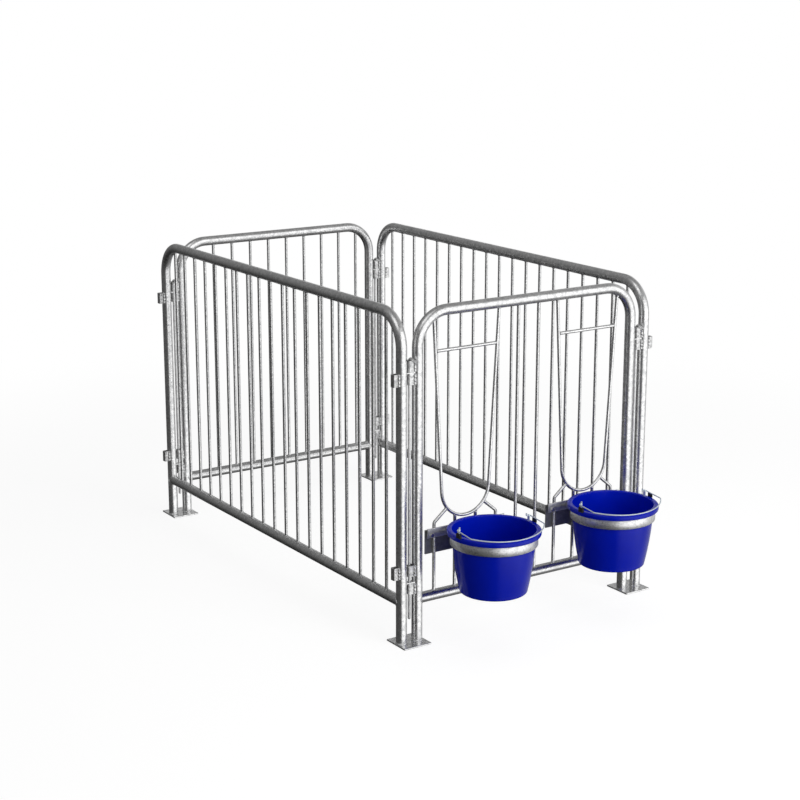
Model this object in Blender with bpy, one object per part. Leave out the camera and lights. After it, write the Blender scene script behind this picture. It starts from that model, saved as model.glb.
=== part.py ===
"""Calf pen: four galvanised tube panels pinned together at the corners, with two feeding
buckets held in rings on the front panel.

Run it with Blender 4.5: blender --background --python part.py
Lengths are in metres. X runs along the front panel, the front faces -Y, and Z is up.
The origin is on the floor, under the middle of the pen and its buckets.
"""

from math import acos, asin, atan2, cos, hypot, pi, radians, sin, sqrt, tan

import bmesh
import bpy
from mathutils import Matrix, Vector

# Whole pen: distances between the posts' centres, and the rails' heights
PEN_WIDTH = 1.000
PEN_LENGTH = 1.667
TOP_RAIL_HEIGHT = 1.0975
BOTTOM_RAIL_HEIGHT = 0.1475

# Panel tube
TUBE_RADIUS = 0.018
TUBE_WALL = 0.0026
BEND_RADIUS = 0.110
TUBE_SIDES = 16
BEND_STEPS = 7

# Upright bars and the rods of the feeding loops
BAR_RADIUS = 0.0055
BAR_SINK = 0.0016
BAR_SIDES = 10
SIDE_BAR_COUNT = 19
SIDE_END_BAR_INSET = 0.005
END_BAR_COUNT = 10
END_BAR_INSET = 0.0655

# Clearances: between two welded pieces, and round a moving one
WELD_GAP = 0.0003
RUNNING_GAP = 0.0005

# Facets that meet at less than this angle are shaded as one smooth surface
SMOOTH_ANGLE = radians(40)

# Corners: two posts side by side on a plate, with a drop pin between them
POST_PITCH = 0.061
PLATE_SIZE = 0.107
PLATE_THICKNESS = 0.006
PLATE_BEVEL = 0.001
PIN_RADIUS = 0.005
PIN_FOOT_HEIGHT = 0.082
PIN_BEND_RADIUS = 0.009
PIN_HANDLE_REACH = 0.036
PIN_HANDLE_DROOP = radians(20)
PIN_HANDLE_GAP = 0.0008

# Straps and lugs: a flat strip bent to a C and welded to a post by its two legs.
# Drops are taken from the top rail's centre, and rises from the bottom rail's.
STRAP_THICKNESS = 0.003
STRAP_WIDTH = 0.021
STRAP_CORNER = 0.005
STRAP_HEIGHT = 0.038
LUG_HEIGHT = 0.041
LUG_REACH = 0.036
LUG_DROP = 0.2075
LUG_RISE = 0.1015
STRAP_PAIR_DROP = 0.1877
STRAP_PAIR_RISE = 0.0708
LOWER_STRAP_SPACING = 0.0218
TONGUE_THICKNESS = 0.003
TONGUE_EMBED = 0.0013

# Feeding loops in the front panel. The crossbar's drop is taken from the top rail's centre,
# and the knee's from the loop's lowest point.
LOOP_TOP_HALF_WIDTH = 0.128
LOOP_BEND_RADIUS = 0.0945
LOOP_BOTTOM_HEIGHT = 0.402
LOOP_CROSSBAR_DROP = 0.1315
LOOP_ARC_STEPS = 16
STUB_KNEE_DROP = 0.007
STUB_KNEE_RADIUS = 0.012
STUB_KNEE_STEPS = 4

# Bucket holders: a plate behind the bars and a ring in front of them, clamped by two bolts.
# The ring's drop is taken from the loop's lowest point, and the plate's from the ring's top.
HOLDER_PLATE_HEIGHT = 0.082
HOLDER_PLATE_DROP = 0.008
HOLDER_THICKNESS = 0.004
RING_DROP = 0.022
RING_CLEARANCE = 0.0025
RING_BAND_HEIGHT = 0.032
RING_BEND_RADIUS = 0.012
RING_STEPS = 32
BOLT_RADIUS = 0.004
BOLT_FROM_BAR = 0.0145
BOLT_TO_TAIL_END = 0.016
BOLT_TO_BAND_EDGE = 0.010
BOLT_HEAD_RADIUS = 0.0075
BOLT_HEAD_THICKNESS = 0.0053
BOLT_TAIL = 0.0025
BOLT_CUTTER_REACH = 0.040
NUT_THICKNESS = 0.0065

# Buckets
BUCKET_RIM_OVERHANG = 0.0175
BUCKET_RIM_HEIGHT = 0.0175
BUCKET_RIM_ROUNDING = 0.005
BUCKET_NECK_RADIUS = 0.1365
BUCKET_BASE_RADIUS = 0.112
BUCKET_DEPTH = 0.1935
BUCKET_WALL = 0.0028
BUCKET_FOOT_ROUNDING = 0.006
BUCKET_SIDES = 36
RIM_TO_BARS = 0.0015
EAR_FROM_NECK = 0.001
EAR_THICKNESS = 0.004
EAR_HALF_WIDTH = 0.0045
EAR_PIVOT_HEIGHT = 0.018
EAR_SINK = 0.002

# Wire bails: two straight legs from the ears, a bend in each, and a shallow bow between them
BAIL_WIRE_RADIUS = 0.002
BAIL_FROM_EAR = 0.0040
BAIL_LEG = 0.075
BAIL_REST = 0.004
BAIL_HOOK = 0.004
BAIL_CORNER = 0.0045
BAIL_CORNER_STEPS = 3
BAIL_BOW_STEPS = 16
BAIL_SIDES = 8

# Places worked out from the sizes above
FRAME_HALF_WIDTH = PEN_WIDTH / 2
FRAME_HALF_LENGTH = PEN_LENGTH / 2
END_PANEL_HALF_SPAN = FRAME_HALF_WIDTH - POST_PITCH
END_BAR_PITCH = 2 * (END_PANEL_HALF_SPAN - END_BAR_INSET) / (END_BAR_COUNT - 1)
BUCKET_RIM_RADIUS = BUCKET_NECK_RADIUS + BUCKET_RIM_OVERHANG
BUCKET_STANDOFF = BAR_RADIUS + RIM_TO_BARS + BUCKET_RIM_RADIUS
FRONT_REACH = FRAME_HALF_LENGTH + BUCKET_STANDOFF + BUCKET_RIM_RADIUS
REAR_REACH = FRAME_HALF_LENGTH + PLATE_SIZE / 2
PEN_MIDDLE_Y = (FRONT_REACH - REAR_REACH) / 2
FRONT_Y = PEN_MIDDLE_Y - FRAME_HALF_LENGTH
REAR_Y = PEN_MIDDLE_Y + FRAME_HALF_LENGTH
POST_FOOT = PLATE_THICKNESS + WELD_GAP
BAR_FOOT = BOTTOM_RAIL_HEIGHT + TUBE_RADIUS - BAR_SINK
BEND_CENTRE_HEIGHT = TOP_RAIL_HEIGHT - BEND_RADIUS
LOOP_OFFSET = 3 * END_BAR_PITCH
LOOP_CENTRE_HEIGHT = LOOP_BOTTOM_HEIGHT + LOOP_BEND_RADIUS
LOOP_CROSSBAR_HEIGHT = TOP_RAIL_HEIGHT - LOOP_CROSSBAR_DROP
STUB_KNEE_HEIGHT = LOOP_BOTTOM_HEIGHT - STUB_KNEE_DROP
LUG_HEIGHTS = {"upper": TOP_RAIL_HEIGHT - LUG_DROP, "lower": BOTTOM_RAIL_HEIGHT + LUG_RISE}
STRAP_PAIR_HEIGHTS = {
    "upper": TOP_RAIL_HEIGHT - STRAP_PAIR_DROP,
    "lower": BOTTOM_RAIL_HEIGHT + STRAP_PAIR_RISE,
}
STRAP_REACH = POST_PITCH / 2 + PIN_RADIUS + RUNNING_GAP + STRAP_THICKNESS
UPPER_STRAP_SPACING = TONGUE_THICKNESS + 2 * WELD_GAP
STRAP_SPACINGS = {"upper": UPPER_STRAP_SPACING, "lower": LOWER_STRAP_SPACING}
STRAP_TOP = STRAP_PAIR_HEIGHTS["upper"] + UPPER_STRAP_SPACING / 2 + STRAP_HEIGHT
RING_INNER_RADIUS = BUCKET_NECK_RADIUS + RING_CLEARANCE
RING_TOP = LOOP_BOTTOM_HEIGHT - RING_DROP
HOLDER_PLATE_TOP = RING_TOP - HOLDER_PLATE_DROP
BOLT_OFFSET = 1.5 * END_BAR_PITCH + BOLT_FROM_BAR
BOLT_HEIGHT = RING_TOP - RING_BAND_HEIGHT + BOLT_TO_BAND_EDGE
HOLDER_HALF_WIDTH = BOLT_OFFSET + BOLT_TO_TAIL_END
BUCKET_Y = FRONT_Y - BUCKET_STANDOFF
RIM_BOTTOM = RING_TOP + WELD_GAP
RIM_TOP = RIM_BOTTOM + BUCKET_RIM_HEIGHT
BUCKET_FLOOR = RIM_BOTTOM - BUCKET_DEPTH
PIVOT_HEIGHT = RIM_TOP + EAR_PIVOT_HEIGHT
EAR_INNER_RADIUS = BUCKET_NECK_RADIUS + EAR_FROM_NECK
BAIL_HALF_WIDTH = EAR_INNER_RADIUS + EAR_THICKNESS + BAIL_FROM_EAR
BAIL_REACH = BUCKET_RIM_RADIUS - BAIL_REST

SIDES = {"left": -1, "right": 1}
ENDS = {"front": FRONT_Y, "rear": REAR_Y}
PANEL_NORMAL = Vector((0, 1, 0))

STEEL = (0.55, 0.56, 0.57)


def clear_scene():
    for obj in list(bpy.data.objects):
        bpy.data.objects.remove(obj, do_unlink=True)


def finish(name, colour, roughness, metallic):
    """A plain Principled material."""
    material = bpy.data.materials.new(name)
    material.use_nodes = True
    shader = material.node_tree.nodes["Principled BSDF"]
    shader.inputs["Base Color"].default_value = (*colour, 1.0)
    shader.inputs["Roughness"].default_value = roughness
    shader.inputs["Metallic"].default_value = metallic
    return material


def make_object(name, bm, material, location=(0, 0, 0), turn=0.0, smooth=False):
    """Turns a bmesh into a named object, standing at location and turned about Z."""
    bmesh.ops.recalc_face_normals(bm, faces=bm.faces)
    mesh = bpy.data.meshes.new(name)
    bm.to_mesh(mesh)
    bm.free()
    if smooth:
        mesh.shade_smooth()
        mesh.set_sharp_from_angle(angle=SMOOTH_ANGLE)
    obj = bpy.data.objects.new(name, mesh)
    obj.location = location
    obj.rotation_euler = (0, 0, turn)
    mesh.materials.append(material)
    bpy.context.scene.collection.objects.link(obj)
    return obj


def combine(target, other, operation):
    """Joins other to target, or cuts it away, and removes other."""
    modifier = target.modifiers.new("combine", "BOOLEAN")
    modifier.operation = operation
    modifier.solver = "EXACT"
    modifier.object = other
    bpy.context.view_layer.update()
    depsgraph = bpy.context.evaluated_depsgraph_get()
    combined = bpy.data.meshes.new_from_object(target.evaluated_get(depsgraph))
    combined.name = target.name
    target.modifiers.clear()
    target.data = combined
    bpy.data.objects.remove(other, do_unlink=True)


def rounded_path(corners, radius, steps):
    """Straight runs between the corner points, with a circular bend at each inner corner."""
    corners = [Vector(corner) for corner in corners]
    path = [corners[0]]
    for before, corner, after in zip(corners, corners[1:], corners[2:]):
        into = (corner - before).normalized()
        out = (after - corner).normalized()
        turn = into.angle(out)
        start = corner - into * radius * tan(turn / 2)
        centre = corner + (out - into).normalized() * radius / cos(turn / 2)
        arm = start - centre
        axis = into.cross(out).normalized()
        for step in range(steps + 1):
            path.append(centre + Matrix.Rotation(turn * step / steps, 3, axis) @ arm)
    path.append(corners[-1])
    return path


def ring_along(bm, path, index, normal, radius, sides):
    """One ring of vertices round a point of a flat path, in the plane that halves its bend."""
    point = path[index]
    ahead = (path[min(index + 1, len(path) - 1)] - path[min(index, len(path) - 2)]).normalized()
    behind = (path[max(index, 1)] - path[max(index - 1, 0)]).normalized()
    along = (ahead + behind).normalized()
    across = along.cross(normal) / along.dot(ahead)
    ring = []
    for side in range(sides):
        angle = 2 * pi * side / sides
        ring.append(bm.verts.new(point + radius * (cos(angle) * normal + sin(angle) * across)))
    return ring


def join_rings(bm, first, second):
    for i in range(len(first)):
        j = (i + 1) % len(first)
        bm.faces.new((first[i], first[j], second[j], second[i]))


def add_rod(bm, path, normal, radius, sides):
    """A solid round rod along a flat path."""
    rings = [ring_along(bm, path, i, normal, radius, sides) for i in range(len(path))]
    for first, second in zip(rings, rings[1:]):
        join_rings(bm, first, second)
    bm.faces.new(rings[0])
    bm.faces.new(rings[-1])


def add_tube(bm, path, normal, radius, wall, sides):
    """A round tube along a flat path, open at both ends."""
    outer = [ring_along(bm, path, i, normal, radius, sides) for i in range(len(path))]
    inner = [ring_along(bm, path, i, normal, radius - wall, sides) for i in range(len(path))]
    for skin in (outer, inner):
        for first, second in zip(skin, skin[1:]):
            join_rings(bm, first, second)
    join_rings(bm, outer[0], inner[0])
    join_rings(bm, outer[-1], inner[-1])


def add_prism(bm, outline, bottom, top):
    """A solid with a flat outline in X and Y, from one height to another."""
    low = [bm.verts.new((x, y, bottom)) for x, y in outline]
    high = [bm.verts.new((x, y, top)) for x, y in outline]
    join_rings(bm, low, high)
    bm.faces.new(low)
    bm.faces.new(high)


def arc(centre_x, centre_y, radius, start, end, steps):
    """Points on a circle from one angle to another."""
    points = []
    for step in range(steps + 1):
        angle = start + (end - start) * step / steps
        points.append((centre_x + radius * cos(angle), centre_y + radius * sin(angle)))
    return points


def circle(radius, sides, centre=(0, 0)):
    return arc(centre[0], centre[1], radius, 0, 2 * pi, sides)[:-1]


def under_rail(offset, half_span):
    """Height of the top rail's underside at a distance from the panel's middle line."""
    past_straight = abs(offset) - (half_span - BEND_RADIUS)
    if past_straight <= 0:
        return TOP_RAIL_HEIGHT - TUBE_RADIUS
    facet = cos(pi / 4 / BEND_STEPS)
    inside = (BEND_RADIUS - TUBE_RADIUS) * facet
    return BEND_CENTRE_HEIGHT + sqrt(inside * inside - past_straight * past_straight)


def bar_top(offset, half_span):
    """Height at which a bar ends, just under the top rail or its bend."""
    return under_rail(abs(offset) + BAR_RADIUS, half_span) - WELD_GAP


def make_hoop(name, half_span, material, location, turn):
    """Two posts and the top rail, bent from one tube. It stands in its own XZ plane."""
    bm = bmesh.new()
    corners = [
        (-half_span, 0, POST_FOOT),
        (-half_span, 0, TOP_RAIL_HEIGHT),
        (half_span, 0, TOP_RAIL_HEIGHT),
        (half_span, 0, POST_FOOT),
    ]
    path = rounded_path(corners, BEND_RADIUS, BEND_STEPS)
    add_tube(bm, path, PANEL_NORMAL, TUBE_RADIUS, TUBE_WALL, TUBE_SIDES)
    return make_object(name, bm, material, location, turn, smooth=True)


def make_infill(name, half_span, rods, material, location, turn):
    """The bottom rail, fitted between the posts, with the rods that stand on it."""
    bm = bmesh.new()
    ends = [Vector((-half_span, 0, BOTTOM_RAIL_HEIGHT)), Vector((half_span, 0, BOTTOM_RAIL_HEIGHT))]
    add_tube(bm, ends, PANEL_NORMAL, TUBE_RADIUS, TUBE_WALL, TUBE_SIDES)
    rail = make_object(name, bm, material, location, turn, smooth=True)

    bm = bmesh.new()
    for side in (-1, 1):
        saddle = circle(TUBE_RADIUS + WELD_GAP, TUBE_SIDES, (side * half_span, 0))
        add_prism(bm, saddle, POST_FOOT, TOP_RAIL_HEIGHT)
    combine(rail, make_object("saddle_cutter", bm, material, location, turn), "DIFFERENCE")

    bm = bmesh.new()
    for path in rods:
        add_rod(bm, path, PANEL_NORMAL, BAR_RADIUS, BAR_SIDES)
    combine(rail, make_object("rods", bm, material, location, turn), "UNION")
    return rail


def upright(offset, top):
    return [Vector((offset, 0, BAR_FOOT)), Vector((offset, 0, top))]


def side_bars():
    pitch = PEN_LENGTH / (SIDE_BAR_COUNT + 1)
    middle = (SIDE_BAR_COUNT - 1) / 2
    rods = []
    for i in range(SIDE_BAR_COUNT):
        offset = (i - middle) * pitch
        if i in (0, SIDE_BAR_COUNT - 1):
            offset -= SIDE_END_BAR_INSET * (1 if offset > 0 else -1)
        rods.append(upright(offset, bar_top(offset, FRAME_HALF_LENGTH)))
    return rods


def end_bar_offset(i):
    return (i - (END_BAR_COUNT - 1) / 2) * END_BAR_PITCH


def rear_bars():
    offsets = [end_bar_offset(i) for i in range(END_BAR_COUNT)]
    return [upright(x, bar_top(x, END_PANEL_HALF_SPAN)) for x in offsets]


def loop_tangent_angle():
    """Angle, from straight up, at which a loop's leg leaves its round bottom."""
    rise = TOP_RAIL_HEIGHT - TUBE_RADIUS - LOOP_CENTRE_HEIGHT
    lean = atan2(LOOP_TOP_HALF_WIDTH, rise)
    return lean + acos(LOOP_BEND_RADIUS / hypot(LOOP_TOP_HALF_WIDTH, rise))


LOOP_TANGENT = loop_tangent_angle()
LEG_LEAN = LOOP_TANGENT - pi / 2
TANGENT_HALF_WIDTH = LOOP_BEND_RADIUS * sin(LOOP_TANGENT)
TANGENT_HEIGHT = LOOP_CENTRE_HEIGHT + LOOP_BEND_RADIUS * cos(LOOP_TANGENT)


def leg_half_width(height):
    """Half the width between the two leg centres of a loop."""
    return TANGENT_HALF_WIDTH + (height - TANGENT_HEIGHT) * tan(LEG_LEAN)


def loop_stubs(middle):
    """The four short rods that stand under a loop: two bent inwards to its sides, two straight."""
    reach = LOOP_BEND_RADIUS + BAR_RADIUS + WELD_GAP
    rods = []
    for side in (-1, 1):
        outer = side * 1.5 * END_BAR_PITCH
        knee = Vector((outer, 0, STUB_KNEE_HEIGHT))
        centre = Vector((0, 0, LOOP_CENTRE_HEIGHT))
        tip = centre + (knee - centre).normalized() * reach
        foot = Vector((outer, 0, BAR_FOOT))
        bent = rounded_path([foot, knee, tip], STUB_KNEE_RADIUS, STUB_KNEE_STEPS)
        rods.append([point + Vector((middle, 0, 0)) for point in bent])

        inner = 0.5 * END_BAR_PITCH
        near_edge = inner - BAR_RADIUS
        top = LOOP_CENTRE_HEIGHT - sqrt(reach * reach - near_edge * near_edge)
        rods.append(upright(middle + side * inner, top))
    return rods


def front_rods():
    rods = []
    for side in (-1, 1):
        offset = side * 0.5 * END_BAR_PITCH
        rods.append(upright(offset, bar_top(offset, END_PANEL_HALF_SPAN)))
        rods += loop_stubs(side * LOOP_OFFSET)
    return rods


def make_loop(name, side, material):
    """A feeding loop: two leaning legs under the top rail and a round bottom."""
    middle = side * LOOP_OFFSET
    tops = {}
    for leg in (-1, 1):
        offset = middle + leg * LOOP_TOP_HALF_WIDTH
        tops[leg] = bar_top(offset, END_PANEL_HALF_SPAN) - BAR_RADIUS * sin(LEG_LEAN)
    path = [Vector((-leg_half_width(tops[-1]), 0, tops[-1]))]
    for step in range(LOOP_ARC_STEPS + 1):
        angle = -LOOP_TANGENT - (2 * pi - 2 * LOOP_TANGENT) * step / LOOP_ARC_STEPS
        x = LOOP_BEND_RADIUS * sin(angle)
        path.append(Vector((x, 0, LOOP_CENTRE_HEIGHT + LOOP_BEND_RADIUS * cos(angle))))
    path.append(Vector((leg_half_width(tops[1]), 0, tops[1])))
    bm = bmesh.new()
    add_rod(bm, path, PANEL_NORMAL, BAR_RADIUS, BAR_SIDES)
    return make_object(name, bm, material, (middle, FRONT_Y, 0), smooth=True)


def make_crossbar(name, side, material):
    """A short rod between the legs of a loop."""
    leg_face = leg_half_width(LOOP_CROSSBAR_HEIGHT - BAR_RADIUS) - BAR_RADIUS / cos(LEG_LEAN)
    half_length = leg_face - WELD_GAP
    ends = [Vector((-half_length, 0, 0)), Vector((half_length, 0, 0))]
    bm = bmesh.new()
    add_rod(bm, ends, PANEL_NORMAL, BAR_RADIUS, BAR_SIDES)
    location = (side * LOOP_OFFSET, FRONT_Y, LOOP_CROSSBAR_HEIGHT)
    return make_object(name, bm, material, location, smooth=True)


def make_base_plate(name, material, location):
    bm = bmesh.new()
    half = PLATE_SIZE / 2
    add_prism(bm, [(-half, -half), (half, -half), (half, half), (-half, half)], 0, PLATE_THICKNESS)
    plate = make_object(name, bm, material, location)
    bevel = plate.modifiers.new("edges", "BEVEL")
    bevel.width = PLATE_BEVEL
    bevel.segments = 1
    return plate


def strap_outline(reach):
    """A C in plan: two legs from a post at the origin and a web at reach along X."""
    half = STRAP_WIDTH / 2
    inner_half = half - STRAP_THICKNESS
    seat = TUBE_RADIUS + WELD_GAP
    inner_reach = reach - STRAP_THICKNESS
    inner_corner = STRAP_CORNER - STRAP_THICKNESS
    outer = arc(reach - STRAP_CORNER, half - STRAP_CORNER, STRAP_CORNER, pi / 2, 0, 3)
    inner = arc(inner_reach - inner_corner, inner_half - inner_corner, inner_corner, 0, pi / 2, 2)
    leg_outer = (sqrt(seat * seat - half * half), half)
    leg_inner = (sqrt(seat * seat - inner_half * inner_half), inner_half)
    upper_outer = [leg_outer] + outer
    upper_inner = inner + [leg_inner]
    lower_outer = [(x, -y) for x, y in reversed(upper_outer)]
    lower_inner = [(x, -y) for x, y in reversed(upper_inner)]
    return upper_outer + lower_outer + lower_inner + upper_inner


def make_strap(name, reach, height, material, location, turn):
    bm = bmesh.new()
    add_prism(bm, strap_outline(reach), -height / 2, height / 2)
    return make_object(name, bm, material, location, turn)


def add_tongue(hoop, post, bottom, material):
    """An eye plate, welded to a hoop's post, that the drop pin passes through.

    Its far end is hollowed round the other post of the corner.
    """
    half = STRAP_WIDTH / 2
    root = TUBE_RADIUS - TONGUE_EMBED
    spread = asin(half / root)
    outline = arc(0, 0, root, spread, -spread, 4)
    hollow = TUBE_RADIUS + RUNNING_GAP
    spread = asin(half / hollow)
    outline += arc(POST_PITCH, 0, hollow, pi + spread, pi - spread, 4)
    bm = bmesh.new()
    add_prism(bm, outline, bottom, bottom + TONGUE_THICKNESS)
    tongue = make_object("tongue", bm, material, post)
    bm = bmesh.new()
    eye = circle(PIN_RADIUS + RUNNING_GAP, 16, (POST_PITCH / 2, 0))
    add_prism(bm, eye, bottom - TONGUE_THICKNESS, bottom + 2 * TONGUE_THICKNESS)
    combine(tongue, make_object("eye_cutter", bm, material, post), "DIFFERENCE")
    combine(hoop, tongue, "UNION")


def make_drop_pin(name, material, x, y):
    """A long pin whose top is bent over to a drooping handle. Its origin is on its axis."""
    crest = STRAP_TOP + PIN_HANDLE_GAP + PIN_RADIUS - PIN_FOOT_HEIGHT
    turn = pi / 2 + PIN_HANDLE_DROOP
    corner = crest + PIN_BEND_RADIUS * (tan(turn / 2) - 1)
    tip = corner - PIN_HANDLE_REACH * tan(PIN_HANDLE_DROOP)
    path = rounded_path([(0, 0, 0), (0, 0, corner), (0, -PIN_HANDLE_REACH, tip)], PIN_BEND_RADIUS, 6)
    bm = bmesh.new()
    add_rod(bm, path, Vector((1, 0, 0)), PIN_RADIUS, BAR_SIDES)
    return make_object(name, bm, material, (x, y, PIN_FOOT_HEIGHT), smooth=True)


def ring_centreline():
    """Half of the ring strip's middle line, from the middle of its front to its tail's end.

    The ring's centre is the origin. The tails lie along X against the front of the bars.
    """
    radius = RING_INNER_RADIUS + HOLDER_THICKNESS / 2
    tail_y = BUCKET_STANDOFF - BAR_RADIUS - WELD_GAP - HOLDER_THICKNESS / 2
    bend_y = tail_y - RING_BEND_RADIUS
    bend_x = sqrt((radius + RING_BEND_RADIUS) ** 2 - bend_y ** 2)
    meet = atan2(bend_y, bend_x)
    line = arc(0, 0, radius, -pi / 2, meet, RING_STEPS // 2)
    line += arc(bend_x, bend_y, RING_BEND_RADIUS, meet + pi, pi / 2, 8)[1:]
    line.append((HOLDER_HALF_WIDTH, tail_y))
    return line


def offset_line(line, distance):
    """The same open line, moved sideways by a distance to the left of its direction."""
    moved = []
    for i, (x, y) in enumerate(line):
        after = line[min(i + 1, len(line) - 1)]
        before = line[max(i - 1, 0)]
        along = Vector((after[0] - before[0], after[1] - before[1])).normalized()
        moved.append((x - along.y * distance, y + along.x * distance))
    return moved


def bolt_holes(name, material, location):
    """Cutters for a holder's two bolts."""
    bm = bmesh.new()
    for side in (-1, 1):
        hole = circle(BOLT_RADIUS + WELD_GAP, 12, (side * BOLT_OFFSET, 0))
        add_prism(bm, hole, -BOLT_CUTTER_REACH, BOLT_CUTTER_REACH)
    bmesh.ops.rotate(bm, matrix=Matrix.Rotation(pi / 2, 3, "X"), verts=bm.verts)
    return make_object(name, bm, material, location)


def make_ring(name, side, material):
    """A flat strip bent round the bucket, with both tails lying along the bars."""
    half = ring_centreline()
    mirrored = [(-x, y) for x, y in reversed(half)]
    line = mirrored[:-1] + half
    inner = offset_line(line, HOLDER_THICKNESS / 2)
    outer = offset_line(line, -HOLDER_THICKNESS / 2)
    bm = bmesh.new()
    add_prism(bm, outer + inner[::-1], RING_TOP - RING_BAND_HEIGHT, RING_TOP)
    x = side * LOOP_OFFSET
    ring = make_object(name, bm, material, (x, BUCKET_Y, 0))
    combine(ring, bolt_holes("holes", material, (x, FRONT_Y, BOLT_HEIGHT)), "DIFFERENCE")
    return ring


def make_holder_plate(name, side, material):
    """The plate behind the bars that the ring is bolted to."""
    front = BAR_RADIUS + WELD_GAP
    back = front + HOLDER_THICKNESS
    half = HOLDER_HALF_WIDTH
    outline = [(-half, front), (half, front), (half, back), (-half, back)]
    bm = bmesh.new()
    add_prism(bm, outline, HOLDER_PLATE_TOP - HOLDER_PLATE_HEIGHT, HOLDER_PLATE_TOP)
    x = side * LOOP_OFFSET
    plate = make_object(name, bm, material, (x, FRONT_Y, 0))
    combine(plate, bolt_holes("holes", material, (x, FRONT_Y, BOLT_HEIGHT)), "DIFFERENCE")
    return plate


def make_bolt(name, material, x):
    """A hexagon bolt, head in front of the ring's tail and nut behind the plate."""
    clamp = BAR_RADIUS + WELD_GAP + HOLDER_THICKNESS + WELD_GAP
    stack = [
        (BOLT_HEAD_RADIUS, 6, -clamp - BOLT_HEAD_THICKNESS, -clamp),
        (BOLT_HEAD_RADIUS, 6, clamp, clamp + NUT_THICKNESS),
        (BOLT_RADIUS, 12, -clamp - BOLT_HEAD_THICKNESS / 2, clamp + NUT_THICKNESS + BOLT_TAIL),
    ]
    pieces = []
    for radius, sides, near, far in stack:
        bm = bmesh.new()
        add_prism(bm, circle(radius, sides), -far, -near)
        bmesh.ops.rotate(bm, matrix=Matrix.Rotation(pi / 2, 3, "X"), verts=bm.verts)
        pieces.append(make_object(name, bm, material, (x, FRONT_Y, BOLT_HEIGHT)))
    head, nut, shank = pieces
    combine(shank, head, "UNION")
    combine(shank, nut, "UNION")
    shank.name = name
    return shank


def bucket_profile():
    """Radius and height round the bucket's wall, from the outside of its foot to the inside."""
    taper = (BUCKET_NECK_RADIUS - BUCKET_BASE_RADIUS) / BUCKET_DEPTH
    foot = BUCKET_FOOT_ROUNDING
    rim = BUCKET_RIM_ROUNDING
    rim_top = BUCKET_DEPTH + BUCKET_RIM_HEIGHT
    inner_base = BUCKET_BASE_RADIUS - BUCKET_WALL
    inner_mouth = BUCKET_NECK_RADIUS - BUCKET_WALL + taper * BUCKET_RIM_HEIGHT
    profile = arc(BUCKET_BASE_RADIUS - foot, foot, foot, -pi / 2, 0, 3)
    profile.append((BUCKET_NECK_RADIUS, BUCKET_DEPTH))
    profile += arc(BUCKET_RIM_RADIUS - rim, BUCKET_DEPTH + rim, rim, -pi / 2, 0, 2)
    profile += arc(BUCKET_RIM_RADIUS - rim, rim_top - rim, rim, 0, pi / 2, 2)
    profile += arc(inner_mouth + rim / 2, rim_top - rim / 2, rim / 2, pi / 2, pi, 2)
    inner_foot = foot - BUCKET_WALL
    inner = arc(inner_base - inner_foot, foot, inner_foot, 0, -pi / 2, 2)
    return profile + inner


def make_bucket(name, side, material):
    """A round bucket with a thick rim and two ears on it. Its origin is on its own axis."""
    bm = bmesh.new()
    rings = []
    for radius, height in bucket_profile():
        points = circle(radius, BUCKET_SIDES)
        rings.append([bm.verts.new((x, y, height)) for x, y in points])
    for first, second in zip(rings, rings[1:]):
        join_rings(bm, first, second)
    bm.faces.new(rings[0])
    bm.faces.new(rings[-1])
    location = (side * LOOP_OFFSET, BUCKET_Y, BUCKET_FLOOR)
    bucket = make_object(name, bm, material, location, smooth=True)
    for ear_side in (-1, 1):
        combine(bucket, make_ear("ear", ear_side, material, location), "UNION")
    return bucket


def make_ear(name, ear_side, material, location):
    """An ear that stands on the bucket's rim, with the hole for the bail."""
    rim_top = BUCKET_DEPTH + BUCKET_RIM_HEIGHT
    pivot = rim_top + EAR_PIVOT_HEIGHT
    crown = arc(pivot, 0, EAR_HALF_WIDTH, -pi / 2, pi / 2, 8)
    outline = [(rim_top - EAR_SINK, -EAR_HALF_WIDTH)] + crown + [(rim_top - EAR_SINK, EAR_HALF_WIDTH)]
    faces = sorted((ear_side * EAR_INNER_RADIUS, ear_side * (EAR_INNER_RADIUS + EAR_THICKNESS)))
    upright_turn = Matrix.Rotation(-pi / 2, 3, "Y")
    bm = bmesh.new()
    add_prism(bm, outline, -faces[1], -faces[0])
    bmesh.ops.rotate(bm, matrix=upright_turn, verts=bm.verts)
    ear = make_object(name, bm, material, location)
    bm = bmesh.new()
    hole = circle(BAIL_WIRE_RADIUS + RUNNING_GAP, 12, (pivot, 0))
    add_prism(bm, hole, -faces[1] - EAR_THICKNESS, -faces[0] + EAR_THICKNESS)
    bmesh.ops.rotate(bm, matrix=upright_turn, verts=bm.verts)
    combine(ear, make_object("hole", bm, material, location), "DIFFERENCE")
    return ear


def bail_line():
    """A bail's middle line, from the hook in its left ear to the one in its right ear."""
    rise = BAIL_REACH - BAIL_LEG
    bow_radius = (BAIL_HALF_WIDTH * BAIL_HALF_WIDTH + rise * rise) / (2 * rise)
    spread = asin(BAIL_HALF_WIDTH / bow_radius)
    steps = BAIL_BOW_STEPS // 2
    bow = []
    for x, y in arc(0, bow_radius - BAIL_REACH, bow_radius, -pi / 2 - spread, -pi / 2, steps):
        bow.append(Vector((x, y, 0)))
    hook = Vector((BAIL_HOOK - EAR_INNER_RADIUS, 0, 0))
    corners = [hook, Vector((-BAIL_HALF_WIDTH, 0, 0)), bow[0], bow[1]]
    left = rounded_path(corners, BAIL_CORNER, BAIL_CORNER_STEPS) + bow[2:]
    right = [Vector((-point.x, point.y, 0)) for point in reversed(left[:-1])]
    return left + right


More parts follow.
